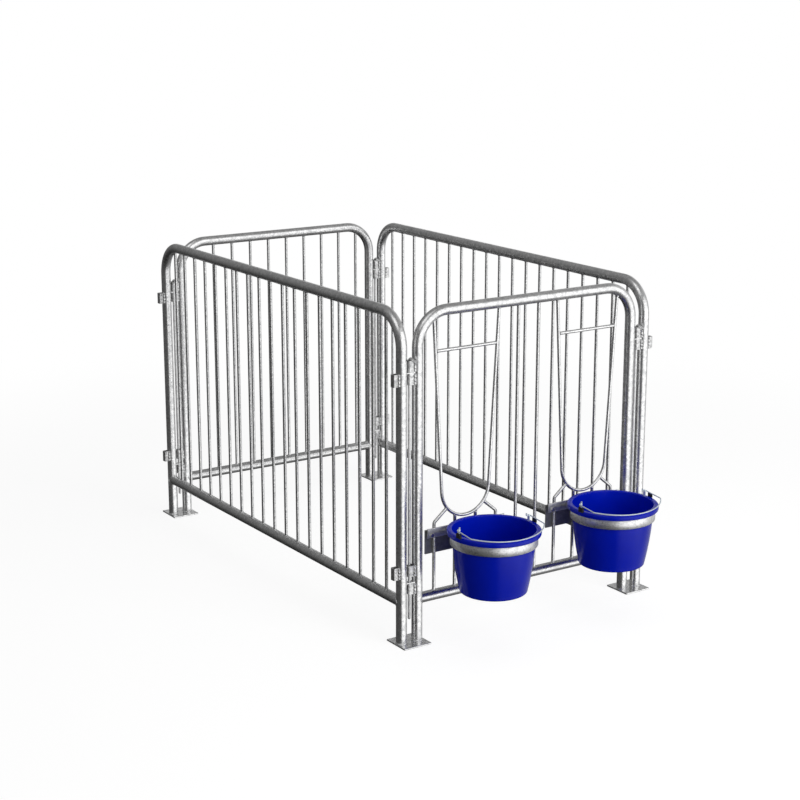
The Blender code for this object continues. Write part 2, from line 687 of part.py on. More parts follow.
def make_bail(name, side, material):
    """A wire handle, lying forward on the rim. Its origin is on the axis it swings about."""
    sag = asin((EAR_PIVOT_HEIGHT - BAIL_WIRE_RADIUS - WELD_GAP) / BAIL_REACH)
    bm = bmesh.new()
    add_rod(bm, bail_line(), Vector((0, 0, 1)), BAIL_WIRE_RADIUS, BAIL_SIDES)
    bmesh.ops.rotate(bm, matrix=Matrix.Rotation(sag, 3, "X"), verts=bm.verts)
    location = (side * LOOP_OFFSET, BUCKET_Y, PIVOT_HEIGHT)
    return make_object(name, bm, material, location, smooth=True)


def make_panels(materials):
    """The four hoops with their infills. Returns the hoops by name."""
    tube, bar = materials["tube"], materials["bar"]
    hoops = {}
    for word, side in SIDES.items():
        place = (side * FRAME_HALF_WIDTH, PEN_MIDDLE_Y, 0)
        hoops[word] = make_hoop(f"hoop_{word}", FRAME_HALF_LENGTH, tube, place, pi / 2)
        make_infill(f"infill_{word}", FRAME_HALF_LENGTH, side_bars(), bar, place, pi / 2)
    rods = {"front": front_rods(), "rear": rear_bars()}
    for word, y in ENDS.items():
        place = (0, y, 0)
        hoops[word] = make_hoop(f"hoop_{word}", END_PANEL_HALF_SPAN, tube, place, 0)
        make_infill(f"infill_{word}", END_PANEL_HALF_SPAN, rods[word], bar, place, 0)
    for word, side in SIDES.items():
        make_loop(f"feed_loop_{word}", side, bar)
        make_crossbar(f"loop_crossbar_{word}", side, bar)
    return hoops


def make_corner(end, word, materials, hoops):
    """One corner: plate, drop pin, the straps on its right-hand post and the left one's eyes."""
    y = ENDS[end]
    side = SIDES[word]
    middle = side * (FRAME_HALF_WIDTH - POST_PITCH / 2)
    left_post = (middle - POST_PITCH / 2, y, 0)
    right_x = middle + POST_PITCH / 2
    corner = f"{end}_{word}"
    make_base_plate(f"base_plate_{corner}", materials["plate"], (middle, y, 0))
    make_drop_pin(f"drop_pin_{corner}", materials["pin"], middle, y)
    eyed_hoop = hoops["left"] if word == "left" else hoops[end]
    for level, height in STRAP_PAIR_HEIGHTS.items():
        step = (STRAP_SPACINGS[level] + STRAP_HEIGHT) / 2
        lower_strap_top = height - step + STRAP_HEIGHT / 2
        add_tongue(eyed_hoop, left_post, lower_strap_top + WELD_GAP, materials["tube"])
        for number, z in enumerate((height - step, height + step), 1):
            name = f"strap_{corner}_{level}_{number}"
            make_strap(name, STRAP_REACH, STRAP_HEIGHT, materials["strip"], (right_x, y, z), pi)
    outward = pi if word == "left" else 0
    for level, height in LUG_HEIGHTS.items():
        post = (side * FRAME_HALF_WIDTH, y, height)
        make_strap(f"lug_{corner}_{level}", LUG_REACH, LUG_HEIGHT, materials["strip"], post, outward)


def make_feeder(word, side, materials):
    """One bucket in its holder."""
    make_holder_plate(f"holder_plate_{word}", side, materials["plate"])
    make_ring(f"bucket_ring_{word}", side, materials["strip"])
    for number, bolt_side in enumerate((-1, 1), 1):
        x = side * LOOP_OFFSET + bolt_side * BOLT_OFFSET
        make_bolt(f"holder_bolt_{word}_{number}", materials["bolt"], x)
    make_bucket(f"bucket_{word}", side, materials["bucket"])
    make_bail(f"bail_{word}", side, materials["bail"])


def main():
    clear_scene()
    materials = {
        "tube": finish("galvanised_tube", STEEL, 0.42, 1.0),
        "bar": finish("galvanised_bar", (0.52, 0.53, 0.54), 0.45, 1.0),
        "plate": finish("galvanised_plate", (0.48, 0.49, 0.50), 0.40, 1.0),
        "strip": finish("galvanised_strip", (0.50, 0.50, 0.50), 0.48, 1.0),
        "pin": finish("galvanised_pin", (0.50, 0.51, 0.52), 0.45, 1.0),
        "bolt": finish("zinc_bolt", (0.60, 0.60, 0.61), 0.35, 1.0),
        "bucket": finish("blue_plastic", (0.012, 0.030, 0.420), 0.35, 0.0),
        "bail": finish("bail_wire", (0.62, 0.62, 0.63), 0.30, 1.0),
    }
    hoops = make_panels(materials)
    for end in ENDS:
        for word in SIDES:
            make_corner(end, word, materials, hoops)
    for word, side in SIDES.items():
        make_feeder(word, side, materials)


main()
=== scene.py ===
from math import acos, asin, atan2, cos, hypot, pi, radians, sin, sqrt, tan

import bmesh
import bpy
from mathutils import Matrix, Vector, noise


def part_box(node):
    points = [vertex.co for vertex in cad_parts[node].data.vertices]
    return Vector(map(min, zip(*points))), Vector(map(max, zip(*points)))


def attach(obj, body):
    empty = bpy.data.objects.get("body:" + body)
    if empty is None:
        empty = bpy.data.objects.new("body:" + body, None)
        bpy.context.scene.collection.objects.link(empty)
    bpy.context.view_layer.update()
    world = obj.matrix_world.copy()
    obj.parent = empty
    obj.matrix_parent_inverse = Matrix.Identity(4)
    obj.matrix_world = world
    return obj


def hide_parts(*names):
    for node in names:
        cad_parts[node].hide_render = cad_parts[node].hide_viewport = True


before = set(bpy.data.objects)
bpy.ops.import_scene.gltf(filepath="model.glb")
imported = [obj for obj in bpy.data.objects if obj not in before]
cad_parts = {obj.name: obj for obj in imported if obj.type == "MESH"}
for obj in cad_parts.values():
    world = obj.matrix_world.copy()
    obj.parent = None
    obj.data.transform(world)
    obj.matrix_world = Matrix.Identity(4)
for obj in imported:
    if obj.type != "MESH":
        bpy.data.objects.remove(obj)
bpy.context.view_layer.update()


# Places and sizes read from the frame
FRONT_LOW, FRONT_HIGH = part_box("hoop_front")
TUBE_RADIUS = (FRONT_HIGH.y - FRONT_LOW.y) / 2
FRONT_Y = (FRONT_HIGH.y + FRONT_LOW.y) / 2
REAR_Y = sum(corner.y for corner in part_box("hoop_rear")) / 2
SIDE_X = sum(corner.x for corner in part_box("infill_right")) / 2
END_HALF_SPAN = -FRONT_LOW.x - TUBE_RADIUS
SIDE_HALF_SPAN = (REAR_Y - FRONT_Y) / 2
MIDDLE_Y = (REAR_Y + FRONT_Y) / 2
TOP_RAIL_Z = FRONT_HIGH.z - TUBE_RADIUS
POST_FOOT = FRONT_LOW.z
BOTTOM_RAIL_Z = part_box("infill_front")[0].z + TUBE_RADIUS
PLATE_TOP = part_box("base_plate_front_left")[1].z
LOOP_X = sum(corner.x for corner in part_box("feed_loop_right")) / 2
BAR_PITCH = LOOP_X / 3
CROSSBAR_Z = sum(corner.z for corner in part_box("loop_crossbar_right")) / 2
BUCKET_LOW, BUCKET_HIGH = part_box("bucket_right")
BUCKET_Y = (BUCKET_LOW.y + BUCKET_HIGH.y) / 2
RIM_RADIUS = (BUCKET_HIGH.y - BUCKET_LOW.y) / 2
RING_LOW, RING_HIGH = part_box("bucket_ring_right")

# Round tubes and rods of the panels
TUBE_WALL = 0.0026
TUBE_SIDES = 40
BEND_RADIUS = 0.110
BEND_STEPS = 20
BAR_RADIUS = 0.0055
BAR_SIDES = 14
SIDE_BAR_COUNT = 19
SIDE_END_BAR_INSET = 0.005
END_BAR_COUNT = 10
LOOP_TOP_HALF_WIDTH = 0.128
LOOP_BEND_RADIUS = 0.0945
LOOP_STEPS = 40
LOOP_SEAM_RADIUS = BAR_RADIUS * 1.1
CROSSBAR_SETBACK = BAR_RADIUS * 0.8
LOOP_BOTTOM_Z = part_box("feed_loop_right")[0].z + BAR_RADIUS
LOOP_CENTRE_Z = LOOP_BOTTOM_Z + LOOP_BEND_RADIUS
STUB_KNEE_DROP = 0.007
STUB_KNEE_RADIUS = 0.012
STUB_KNEE_STEPS = 8

# Gaps between solids: welded ones, and ones that slide past each other
JOINT_GAP = 0.0003
RUNNING_GAP = 0.0005

# Corner hardware and bucket rings
POST_PITCH = SIDE_X - END_HALF_SPAN
TONGUE_THICKNESS = 0.003
TONGUE_HALF_WIDTH = 0.0105
TONGUE_ROOT = TUBE_RADIUS * 0.78
TONGUE_STEPS = 40
PIN_RADIUS = 0.005
PIN_BEND_RADIUS = 0.009
PIN_BEND_STEPS = 12
PIN_DROOP = radians(20)
PIN_SIDES = 24
PIN_NOSE = ((0.0, 0.55), (0.0016, 0.85), (0.004, 1.0))
STRIP_THICKNESS = 0.004
RING_BEND_RADIUS = 0.012
RING_STEPS = 64
RING_TAIL_STEPS = 12
RING_EDGE = 0.0009

# Welds, whose lumps are given as (lumps per metre, share of the radius)
BEAD_RADIUS = 0.0015
BEAD_SIDES = 8
BEAD_LUMPS = ((330.0, 0.42), (90.0, 0.25))
RAIL_BEAD_RADIUS = BEAD_RADIUS * 1.2
FOOT_BEAD_RADIUS = BEAD_RADIUS * 1.3
BAR_BEAD_STEPS = 14
POST_BEAD_STEPS = 36
SADDLE_STEPS = 28
LAP_BEAD_RADIUS = 0.0042
LAP_BEAD_PITCH = 0.012
LAP_BEAD_STEP = 0.0008
LAP_BEAD_SIDES = 12
LAP_BEAD_END = 0.001
LAP_BEAD_PHASE = 0.3
LAP_BEAD_VALLEY = 0.60
LAP_BEAD_DROP = 0.42
LAP_BEAD_LUMP = (240.0, 0.12)
LAP_BEAD_TIP = 0.45
LAP_BEAD_TAPER = 12
LAP_BEAD_OFF_POST = LAP_BEAD_RADIUS * 0.55
LAP_BEAD_OFF_LEG = LAP_BEAD_RADIUS * 0.25
WELD_SINK = 0.001

# Rounding of edges, and the angle above which an edge is sharp
STEEL_BEVEL = 0.0006
BOLT_BEVEL = 0.0005
BEVEL_SEGMENTS = 2
MERGE_DISTANCE = 0.00001
FLAT_ANGLE = radians(1)
SAME_FACE_COSINE = 0.6
SMOOTH_ANGLE = radians(40)
RING_SMOOTH_ANGLE = radians(50)
TAB_SMOOTH_ANGLE = radians(60)

# Buckets with their ears and tabs
BUCKET_SIDES = 128
BUCKET_NECK_RADIUS = 0.1365
BUCKET_BASE_RADIUS = 0.112
BUCKET_WALL = 0.0028
BUCKET_BULGE = 0.0042
BUCKET_SIDE_SHARES = (0.12, 0.25, 0.37, 0.5, 0.62, 0.75, 0.86, 0.97)
BUCKET_INSIDE_SHARES = (0.75, 0.5, 0.25)
BUCKET_FOOT = 0.006
BUCKET_FOOT_RISE = 0.0025
BUCKET_FOOT_INSET = 0.014
BUCKET_BASE_INSETS = (0.030, 0.0165)
NECK_CORNER = ((0.0003, -0.0008), (0.0015, 0))
BUCKET_RIM_HEIGHT = 0.0175
LIP_SETBACK = 0.0040
LIP_ROUNDING = 0.0035
RIM_ROUNDING = 0.0065
RIM_TOP = RING_HIGH.z + JOINT_GAP + BUCKET_RIM_HEIGHT
BUCKET_DEPTH = RIM_TOP - BUCKET_RIM_HEIGHT - BUCKET_LOW.z
PIVOT_ABOVE_RIM = 0.018
EAR_INNER_RADIUS = 0.1375
EAR_THICKNESS = 0.004
EAR_HALF_WIDTH = 0.0045
EAR_SINK = 0.002
EAR_STEPS = 32
TAB_GAP = 0.0012
TAB_INSET = 0.0008
TAB_SPAN = (-0.0270, -0.0060)
TAB_SINK = 0.002
TAB_RISE = 0.0125
TAB_BEVEL = 0.0012

# Bails, whose curled ends are given as (back, up) from the pivot
WIRE_RADIUS = 0.002
WIRE_SIDES = 16
BAIL_HALF_WIDTH = 0.1455
BAIL_LEG = 0.075
BAIL_REACH = 0.150
BAIL_BEND_RADIUS = 0.0018
BAIL_BEND_STEPS = 5
BAIL_INSIDE_EAR = 0.004
BAIL_CURL = ((0.0015, 0.0062), (0.0060, 0.0058), (0.0052, 0))
BOW_STEPS = 24

SIDES = {"left": -1, "right": 1}
ENDS = {"front": FRONT_Y, "rear": REAR_Y}
UP = Vector((0, 0, 1))

# The photograph's camera
CAMERA_PLACE = (-3.46685, -5.18559, 2.17263)
CAMERA_AZIMUTH = radians(-33.45)
CAMERA_ELEVATION = radians(14.08)
CAMERA_LENS = 78.96
CAMERA_RIGHT = Vector((cos(CAMERA_AZIMUTH), sin(CAMERA_AZIMUTH), 0))
CAMERA_AHEAD = Vector((-sin(CAMERA_AZIMUTH), cos(CAMERA_AZIMUTH), 0))

# Zinc: what makes up its mottle, and the bumps of its skin
CLOUDS_PER_METRE = 16.0
GRAINS_PER_METRE = 260.0
CRYSTAL_SHARE = 0.32
CLOUD_SHARE = 0.16
GRAIN_SHARE = 0.52
SKIN_CLOUD_SHARE = 0.6
SKIN_HEIGHT = 0.0008

# The floor and what the metal mirrors. Tones are shares of white, and turns run from the
# camera's right, seen from above. An edge is where a wall, window or lamp fades in, as cosines
FLOOR_REACH = 120.0
FLOOR_DROP = 0.0005
FLOOR_FADE = (1.6, 4.0)
FLOOR_TONE = 0.38
FLOOR_LIFT = 0.85
SHADOW_SHARE = 0.34
WORLD_FILL = 0.24
WINDOW_TURN = radians(-90 + 53)
SKYLIGHT_TURN = radians(-90 - 28)
SKYLIGHT_RISE = radians(58)
SKYLIGHT_TONE = 1.2
RIGHT_WALL_EDGE = (0.02, 0.36)
WINDOW_EDGE = (0.57, 0.87)
BACK_WALL_EDGE = (0.90, 0.985)
SKYLIGHT_EDGE = (0.90, 0.955)

# Each wall's tone by the height that a direction points to, from -1 for down to 1 for up
LEFT_WALL = (
    (-1, 0.012), (-0.57, 0.018), (-0.26, 0.064), (0.0, 0.114), (0.33, 0.165), (0.5, 0.20),
    (0.8, 0.24),
)
RIGHT_WALL = (
    (-1, 0.12), (-0.75, 0.18), (-0.5, 0.52), (0.0, 0.58), (0.45, 0.50), (0.7, 0.30), (0.85, 0.26),
)
BACK_WALL = (
    (-1, 0.10), (-0.5, 0.20), (0.0, 0.40), (0.16, 0.50), (0.24, 0.90), (0.34, 0.80), (0.5, 0.34),
    (0.85, 0.25),
)
WINDOW = ((-0.8, 0.14), (-0.62, 0.36), (-0.42, 1.45), (0.50, 1.45), (0.66, 0.6), (0.82, 0.26))

# Lamps for plastic and floor, placed as (right, ahead, up) in the camera's heading
LAMP_SIZE = 3.0
KEY_PLACE = (2.9, -3.4, 1.9)
KEY_TARGET = (0, 0, 0.4)
KEY_RADIANCE = 2.6
TOP_PLACE = (0.6, 0, 3.6)
TOP_RADIANCE = 0.5


def add_camera():
    """The camera that took the photograph, as fitted to its posts, rails and plates."""
    data = bpy.data.cameras.new("camera")
    data.lens = CAMERA_LENS
    camera = bpy.data.objects.new("camera", data)
    camera.location = CAMERA_PLACE
    camera.rotation_euler = (pi / 2 - CAMERA_ELEVATION, 0, CAMERA_AZIMUTH)
    bpy.context.scene.collection.objects.link(camera)
    bpy.context.scene.camera = camera


class Graph:
    """A node tree, built a node at a time."""

    def __init__(self, tree):
        """Adds to the tree as it is."""
        self.tree = tree

    def node(self, kind, **values):
        """A new node with some of its settings."""
        node = self.tree.nodes.new(kind)
        for key, value in values.items():
            setattr(node, key, value)
        return node

    def link(self, output, socket):
        """Joins an output to an input."""
        self.tree.links.new(output, socket)

    def math(self, operation, first, second):
        """One number from two sockets or numbers."""
        node = self.node("ShaderNodeMath", operation=operation)
        for socket, value in zip(node.inputs, (first, second)):
            if isinstance(value, (int, float)):
                socket.default_value = value
            else:
                self.link(value, socket)
        return node.outputs[0]

    def spread(self, value, span=(0, 1), result=(0, 1), curve="LINEAR"):
        """Maps one range of values onto another."""
        node = self.node("ShaderNodeMapRange", interpolation_type=curve)
        names = ("From Min", "From Max", "To Min", "To Max")
        for name, limit in zip(names, (*span, *result)):
            node.inputs[name].default_value = limit
        self.link(value, node.inputs["Value"])
        return node.outputs["Result"]

    def ramp(self, factor, *stops):
        """A colour for each factor, from (position, colour) stops."""
        node = self.node("ShaderNodeValToRGB")
        elements = node.color_ramp.elements
        while len(elements) < len(stops):
            elements.new(0.5)
        for element, (position, colour) in zip(elements, stops):
            element.position = position
            element.color = (*colour, 1.0)
        self.link(factor, node.inputs["Fac"])
        return node.outputs["Color"]

    def mix(self, share, first, second):
        """A blend of two colours, by the second one's share."""
        node = self.node("ShaderNodeMix", data_type="RGBA")
        self.link(share, node.inputs["Factor"])
        self.link(first, node.inputs["A"])
        self.link(second, node.inputs["B"])
        return node.outputs["Result"]

    def mix_shaders(self, share, first, second):
        """A blend of two shader nodes, by the second one's share."""
        node = self.node("ShaderNodeMixShader")
        self.link(share, node.inputs["Fac"])
        self.link(first.outputs[0], node.inputs[1])
        self.link(second.outputs[0], node.inputs[2])
        return node


class Shader(Graph):
    """The node tree of a new material."""

    def __init__(self, name):
        """Starts with the ready-made surface node."""
        self.material = bpy.data.materials.new(name)
        self.material.use_nodes = True
        super().__init__(self.material.node_tree)
        self.surface = self.tree.nodes["Principled BSDF"]

    def coordinates(self):
        """Places in metres on the object itself."""
        return self.node("ShaderNodeTexCoord").outputs["Object"]

    def noise(self, vector, scale, detail, roughness, distortion=0.0):
        """Soft clouds, from 0 to 1."""
        node = self.node("ShaderNodeTexNoise")
        node.inputs["Scale"].default_value = scale
        node.inputs["Detail"].default_value = detail
        node.inputs["Roughness"].default_value = roughness
        node.inputs["Distortion"].default_value = distortion
        self.link(vector, node.inputs["Vector"])
        return node.outputs["Fac"]

    def crystals(self, vector, scale):
        """A grey of its own for each cell."""
        node = self.node("ShaderNodeTexVoronoi")
        node.inputs["Scale"].default_value = scale
        self.link(vector, node.inputs["Vector"])
        split = self.node("ShaderNodeSeparateColor")
        self.link(node.outputs["Color"], split.inputs["Color"])
        return split.outputs["Red"]

    def bump(self, height, strength, distance):
        """Lets a height tilt the surface's shading."""
        node = self.node("ShaderNodeBump")
        node.inputs["Strength"].default_value = strength
        node.inputs["Distance"].default_value = distance
        self.link(height, node.inputs["Height"])
        self.link(node.outputs["Normal"], self.surface.inputs["Normal"])


def grey(value, warmth=0.0):
    """A grey that leans to red for a positive warmth and to blue for a negative one."""
    return (value * (1 + warmth), value, value * (1 - warmth))


def galvanised(
    name, tone, contrast, crystal_scale, smooth, rough, skin=0.5, metal=0.88, warmth=0.0,
):
    """Hot-dip zinc: crystals of unlike grey, cloudy dull patches and a fine uneven skin."""
    shader = Shader(name)
    place = shader.coordinates()
    crystals = shader.crystals(place, crystal_scale)
    clouds = shader.noise(place, CLOUDS_PER_METRE, 5.0, 0.62, 0.6)
    grain = shader.noise(place, GRAINS_PER_METRE, 3.0, 0.6)
    crystal_part = shader.math("MULTIPLY", crystals, CRYSTAL_SHARE)
    cloud_part = shader.math("MULTIPLY", clouds, CLOUD_SHARE)
    mottle = shader.math("ADD", crystal_part, cloud_part)
    mottle = shader.math("ADD", mottle, shader.math("MULTIPLY", grain, GRAIN_SHARE))
    dark = grey(tone * (1 - contrast), warmth - 0.01)
    pale = grey(min(0.95, tone * (1 + contrast)), warmth)
    colour = shader.ramp(mottle, (0.30, dark), (0.50, grey(tone, warmth)), (0.70, pale))
    shader.link(colour, shader.surface.inputs["Base Color"])
    shader.surface.inputs["Metallic"].default_value = metal
    shader.link(shader.spread(mottle, result=(rough, smooth)), shader.surface.inputs["Roughness"])
    swell = shader.math("MULTIPLY", clouds, SKIN_CLOUD_SHARE)
    shader.bump(shader.math("ADD", grain, swell), skin, SKIN_HEIGHT)
    return shader.material


def blue_plastic():
    """Moulded blue plastic, with faint clouds of tone and gloss and a very fine grain."""
    shader = Shader("blue_plastic")
    place = shader.coordinates()
    clouds = shader.noise(place, 9.0, 4.0, 0.6)
    grain = shader.noise(place, 620.0, 2.0, 0.6)
    colour = shader.ramp(clouds, (0.30, (0.0002, 0.012, 0.56)), (0.70, (0.0005, 0.015, 0.64)))
    shader.link(colour, shader.surface.inputs["Base Color"])
    shader.surface.inputs["Specular IOR Level"].default_value = 0.24
    shader.link(shader.spread(clouds, result=(0.17, 0.24)), shader.surface.inputs["Roughness"])
    shader.bump(grain, 0.06, 0.0002)
    return shader.material


def black_plastic():
    """Dull black plastic with a fine grain, for the tabs beside the ears."""
    shader = Shader("black_plastic")
    place = shader.coordinates()
    grain = shader.noise(place, 420.0, 3.0, 0.6)
    colour = shader.ramp(grain, (0.3, (0.008, 0.008, 0.009)), (0.7, (0.020, 0.020, 0.022)))
    shader.link(colour, shader.surface.inputs["Base Color"])
    shader.link(shader.spread(grain, result=(0.45, 0.65)), shader.surface.inputs["Roughness"])
    shader.bump(grain, 0.2, 0.0003)
    return shader.material


# Tone, contrast, crystals per metre, roughness of bright and dull spots, skin, metal, warmth
MATERIALS = {
    "tube": galvanised("galvanised_tube", 0.79, 0.24, 130.0, 0.22, 0.36, 0.45, 0.92),
    "bar": galvanised("galvanised_bar", 0.69, 0.23, 170.0, 0.20, 0.32, 0.4, 0.94),
    "rod": galvanised("galvanised_rod", 0.80, 0.20, 150.0, 0.20, 0.34, 0.45, 0.92),
    "plate": galvanised("galvanised_plate", 0.70, 0.24, 85.0, 0.10, 0.22, 0.25),
    # The holder's tone is painted shade: darker than the base plates' zinc, for the shade and dim
    # reflections beside the bucket
    "holder": galvanised("galvanised_holder_painted_shade", 0.36, 0.16, 75.0, 0.34, 0.50, 0.15, 0.60),
    "ring": galvanised("galvanised_ring", 0.88, 0.26, 150.0, 0.32, 0.48, 0.5, 0.86),
    "strap": galvanised("galvanised_strip", 0.60, 0.36, 150.0, 0.24, 0.42, 0.7, 0.90),
    "pin": galvanised("galvanised_pin", 0.86, 0.18, 120.0, 0.24, 0.40),
    "bolt": galvanised("zinc_bolt", 0.70, 0.10, 200.0, 0.16, 0.28, 0.2),
    "bail": galvanised("zinc_wire", 0.94, 0.03, 240.0, 0.20, 0.30, 0.1, 0.30, -0.10),
    "weld": galvanised("galvanised_weld", 0.80, 0.18, 180.0, 0.16, 0.32, 0.5),
    "bucket": blue_plastic(),
    "tab": black_plastic(),
}


def piece(name, bm, material, body="frame", stands_for=(), smooth_angle=SMOOTH_ANGLE):
    """Turns a bmesh into a visible piece that rides on a body."""
    bmesh.ops.recalc_face_normals(bm, faces=bm.faces)
    mesh = bpy.data.meshes.new(name)
    bm.to_mesh(mesh)
    bm.free()
    mesh.materials.append(MATERIALS[material])
    mesh.shade_smooth()
    mesh.set_sharp_from_angle(angle=smooth_angle)
    obj = bpy.data.objects.new(name, mesh)
    bpy.context.scene.collection.objects.link(obj)
    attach(obj, body)
    if stands_for:
        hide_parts(*stands_for)
    return obj


def rounded_path(corners, radius, steps):
    """Straight runs between the corner points, with a circular bend at each inner corner."""
    corners = [Vector(corner) for corner in corners]
    path = [corners[0]]
    for before, corner, after in zip(corners, corners[1:], corners[2:]):
        into = (corner - before).normalized()
        out = (after - corner).normalized()
        turn = into.angle(out)
        start = corner - into * radius * tan(turn / 2)
        centre = corner + (out - into).normalized() * radius / cos(turn / 2)
        axis = into.cross(out).normalized()
        for step in range(steps + 1):
            path.append(centre + Matrix.Rotation(turn * step / steps, 3, axis) @ (start - centre))
    path.append(corners[-1])
    return path


def tangents(path, closed):
    """The direction of a path at each of its points."""
    count = len(path)
    result = []
    for i in range(count):
        after = path[(i + 1) % count] if closed else path[min(i + 1, count - 1)]
        before = path[i - 1] if closed else path[max(i - 1, 0)]
        result.append((after - before).normalized())
    return result


def sweep(bm, path, radius, sides, closed=False, caps=True):
    """A round section carried along a path without twist. radius is a number or a list."""
    directions = tangents(path, closed)
    normal = directions[0].orthogonal().normalized()
    rings = []
    for i, (point, along) in enumerate(zip(path, directions)):
        normal = (normal - along * normal.dot(along)).normalized()
        across = along.cross(normal)
        size = radius[i] if isinstance(radius, list) else radius
        ring = []
        for side in range(sides):
            angle = 2 * pi * side / sides
            ring.append(bm.verts.new(point + size * (cos(angle) * normal + sin(angle) * across)))
        rings.append(ring)
    join_all(bm, rings, caps and not closed)
    if closed:
        join_nearest(bm, rings[-1], rings[0])
    return rings


def join_rings(bm, first, second, shift=0):
    """A band of faces between two rings of as many points, the second turned by shift points."""
    count = len(first)
    for i in range(count):
        j = (i + 1) % count
        bm.faces.new((first[i], first[j], second[(j + shift) % count], second[(i + shift) % count]))


def join_all(bm, rings, caps=True):
    """A skin over a row of rings, with a face over each end if it has caps."""
    for first, second in zip(rings, rings[1:]):
        join_rings(bm, first, second)
    if caps:
        bm.faces.new(rings[0])
        bm.faces.new(rings[-1])


def join_nearest(bm, first, second):
    """Joins two rings whose starting points may be turned against each other."""
    count = len(first)
    start = first[0].co
    shift = min(range(count), key=lambda k: (second[k].co - start).length)
    join_rings(bm, first, second, shift)


def holed_plate(bm, outline, hole, depths, place):
    """A flat plate with a round hole, as one closed shell.

    outline holds (angle, reach) pairs round the hole, and place turns a point into a vector.
    """
    rings = []
    for depth in depths:
        outer = []
        inner = []
        for angle, reach in outline:
            for ring, radius in ((outer, reach), (inner, hole)):
                point = place(radius * cos(angle), radius * sin(angle), depth)
                ring.append(bm.verts.new(point))
        rings.append((outer, inner))
    join_rings(bm, rings[0][0], rings[1][0])
    join_rings(bm, rings[0][1], rings[1][1])
    for outer, inner in rings:
        join_rings(bm, outer, inner)


def hollow_tube(bm, path):
    """A tube of the panels' section, open at both ends."""
    outer = sweep(bm, path, TUBE_RADIUS, TUBE_SIDES, caps=False)
    inner = sweep(bm, path, TUBE_RADIUS - TUBE_WALL, TUBE_SIDES, caps=False)
    join_rings(bm, outer[0], inner[0])
    join_rings(bm, outer[-1], inner[-1])


def bead(bm, path, closed=False, radius=BEAD_RADIUS):
    """A lumpy line of weld along a path."""
    sizes = []
    for point in path:
        lump = sum(noise.noise(point * scale) * share for scale, share in BEAD_LUMPS)
        sizes.append(radius * (1.0 + lump))
    sweep(bm, path, sizes, BEAD_SIDES, closed)


def lap_bead(bm, start, end):
    """A straight weld laid in overlapping round drops."""
    length = (end - start).length
    steps = max(8, int(length / LAP_BEAD_STEP))
    path = []
    sizes = []
    for step in range(steps + 1):
        along = step / steps
        point = start.lerp(end, along)
        drop = abs(sin(pi * (along * length / LAP_BEAD_PITCH + LAP_BEAD_PHASE)))
        scale, share = LAP_BEAD_LUMP
        size = LAP_BEAD_VALLEY + LAP_BEAD_DROP * drop + share * noise.noise(point * scale)
        taper = min(1.0, LAP_BEAD_TIP + LAP_BEAD_TAPER * min(along, 1 - along))
        path.append(point)
        sizes.append(LAP_BEAD_RADIUS * size * taper)
    sweep(bm, path, sizes, LAP_BEAD_SIDES)


def circle_path(centre, axis, radius, steps):
    """Points on a circle round an axis."""
    axis = axis.normalized()
    normal = axis.orthogonal().normalized()
    across = axis.cross(normal)
    points = []
    for step in range(steps):
        angle = 2 * pi * step / steps
        points.append(centre + radius * (cos(angle) * normal + sin(angle) * across))
    return points


class Panel:
    """A panel's own plane: offset runs along it from its middle, and height goes up."""

    def __init__(self, origin, along, half_span):
        """origin is the middle of the foot line and half_span reaches to a post's middle."""
        self.origin = Vector(origin)
        self.along = Vector(along)
        self.half_span = half_span

    def point(self, offset, height):
        """A point of the panel's middle plane."""
        return self.origin + self.along * offset + UP * height

    def rail_underside(self, offset):
        """Height of the top rail's underside over a point of the panel's foot line."""
        past_straight = abs(offset) - (self.half_span - BEND_RADIUS)
        if past_straight <= 0:
            return TOP_RAIL_Z - TUBE_RADIUS
        inside = BEND_RADIUS - TUBE_RADIUS
        return TOP_RAIL_Z - BEND_RADIUS + sqrt(inside * inside - past_straight * past_straight)

    def hoop_path(self):
        """The middle line of the bent tube, from one foot over the top to the other."""
        corners = [
            self.point(-self.half_span, POST_FOOT),
            self.point(-self.half_span, TOP_RAIL_Z),
            self.point(self.half_span, TOP_RAIL_Z),
            self.point(self.half_span, POST_FOOT),
        ]
        return rounded_path(corners, BEND_RADIUS, BEND_STEPS)


PANELS = {
    "left": Panel((-SIDE_X, MIDDLE_Y, 0), (0, 1, 0), SIDE_HALF_SPAN),
    "right": Panel((SIDE_X, MIDDLE_Y, 0), (0, 1, 0), SIDE_HALF_SPAN),
    "front": Panel((0, FRONT_Y, 0), (1, 0, 0), END_HALF_SPAN),
    "rear": Panel((0, REAR_Y, 0), (1, 0, 0), END_HALF_SPAN),
}


def side_offsets():
    """Places of a side panel's bars, whose end bars stand a little nearer to the middle."""
    pitch = 2 * SIDE_HALF_SPAN / (SIDE_BAR_COUNT + 1)
    offsets = [(i - (SIDE_BAR_COUNT - 1) / 2) * pitch for i in range(SIDE_BAR_COUNT)]
    offsets[0] += SIDE_END_BAR_INSET
    offsets[-1] -= SIDE_END_BAR_INSET
    return offsets


def end_offsets():
    """Places of the rear panel's bars."""
    return [(i - (END_BAR_COUNT - 1) / 2) * BAR_PITCH for i in range(END_BAR_COUNT)]


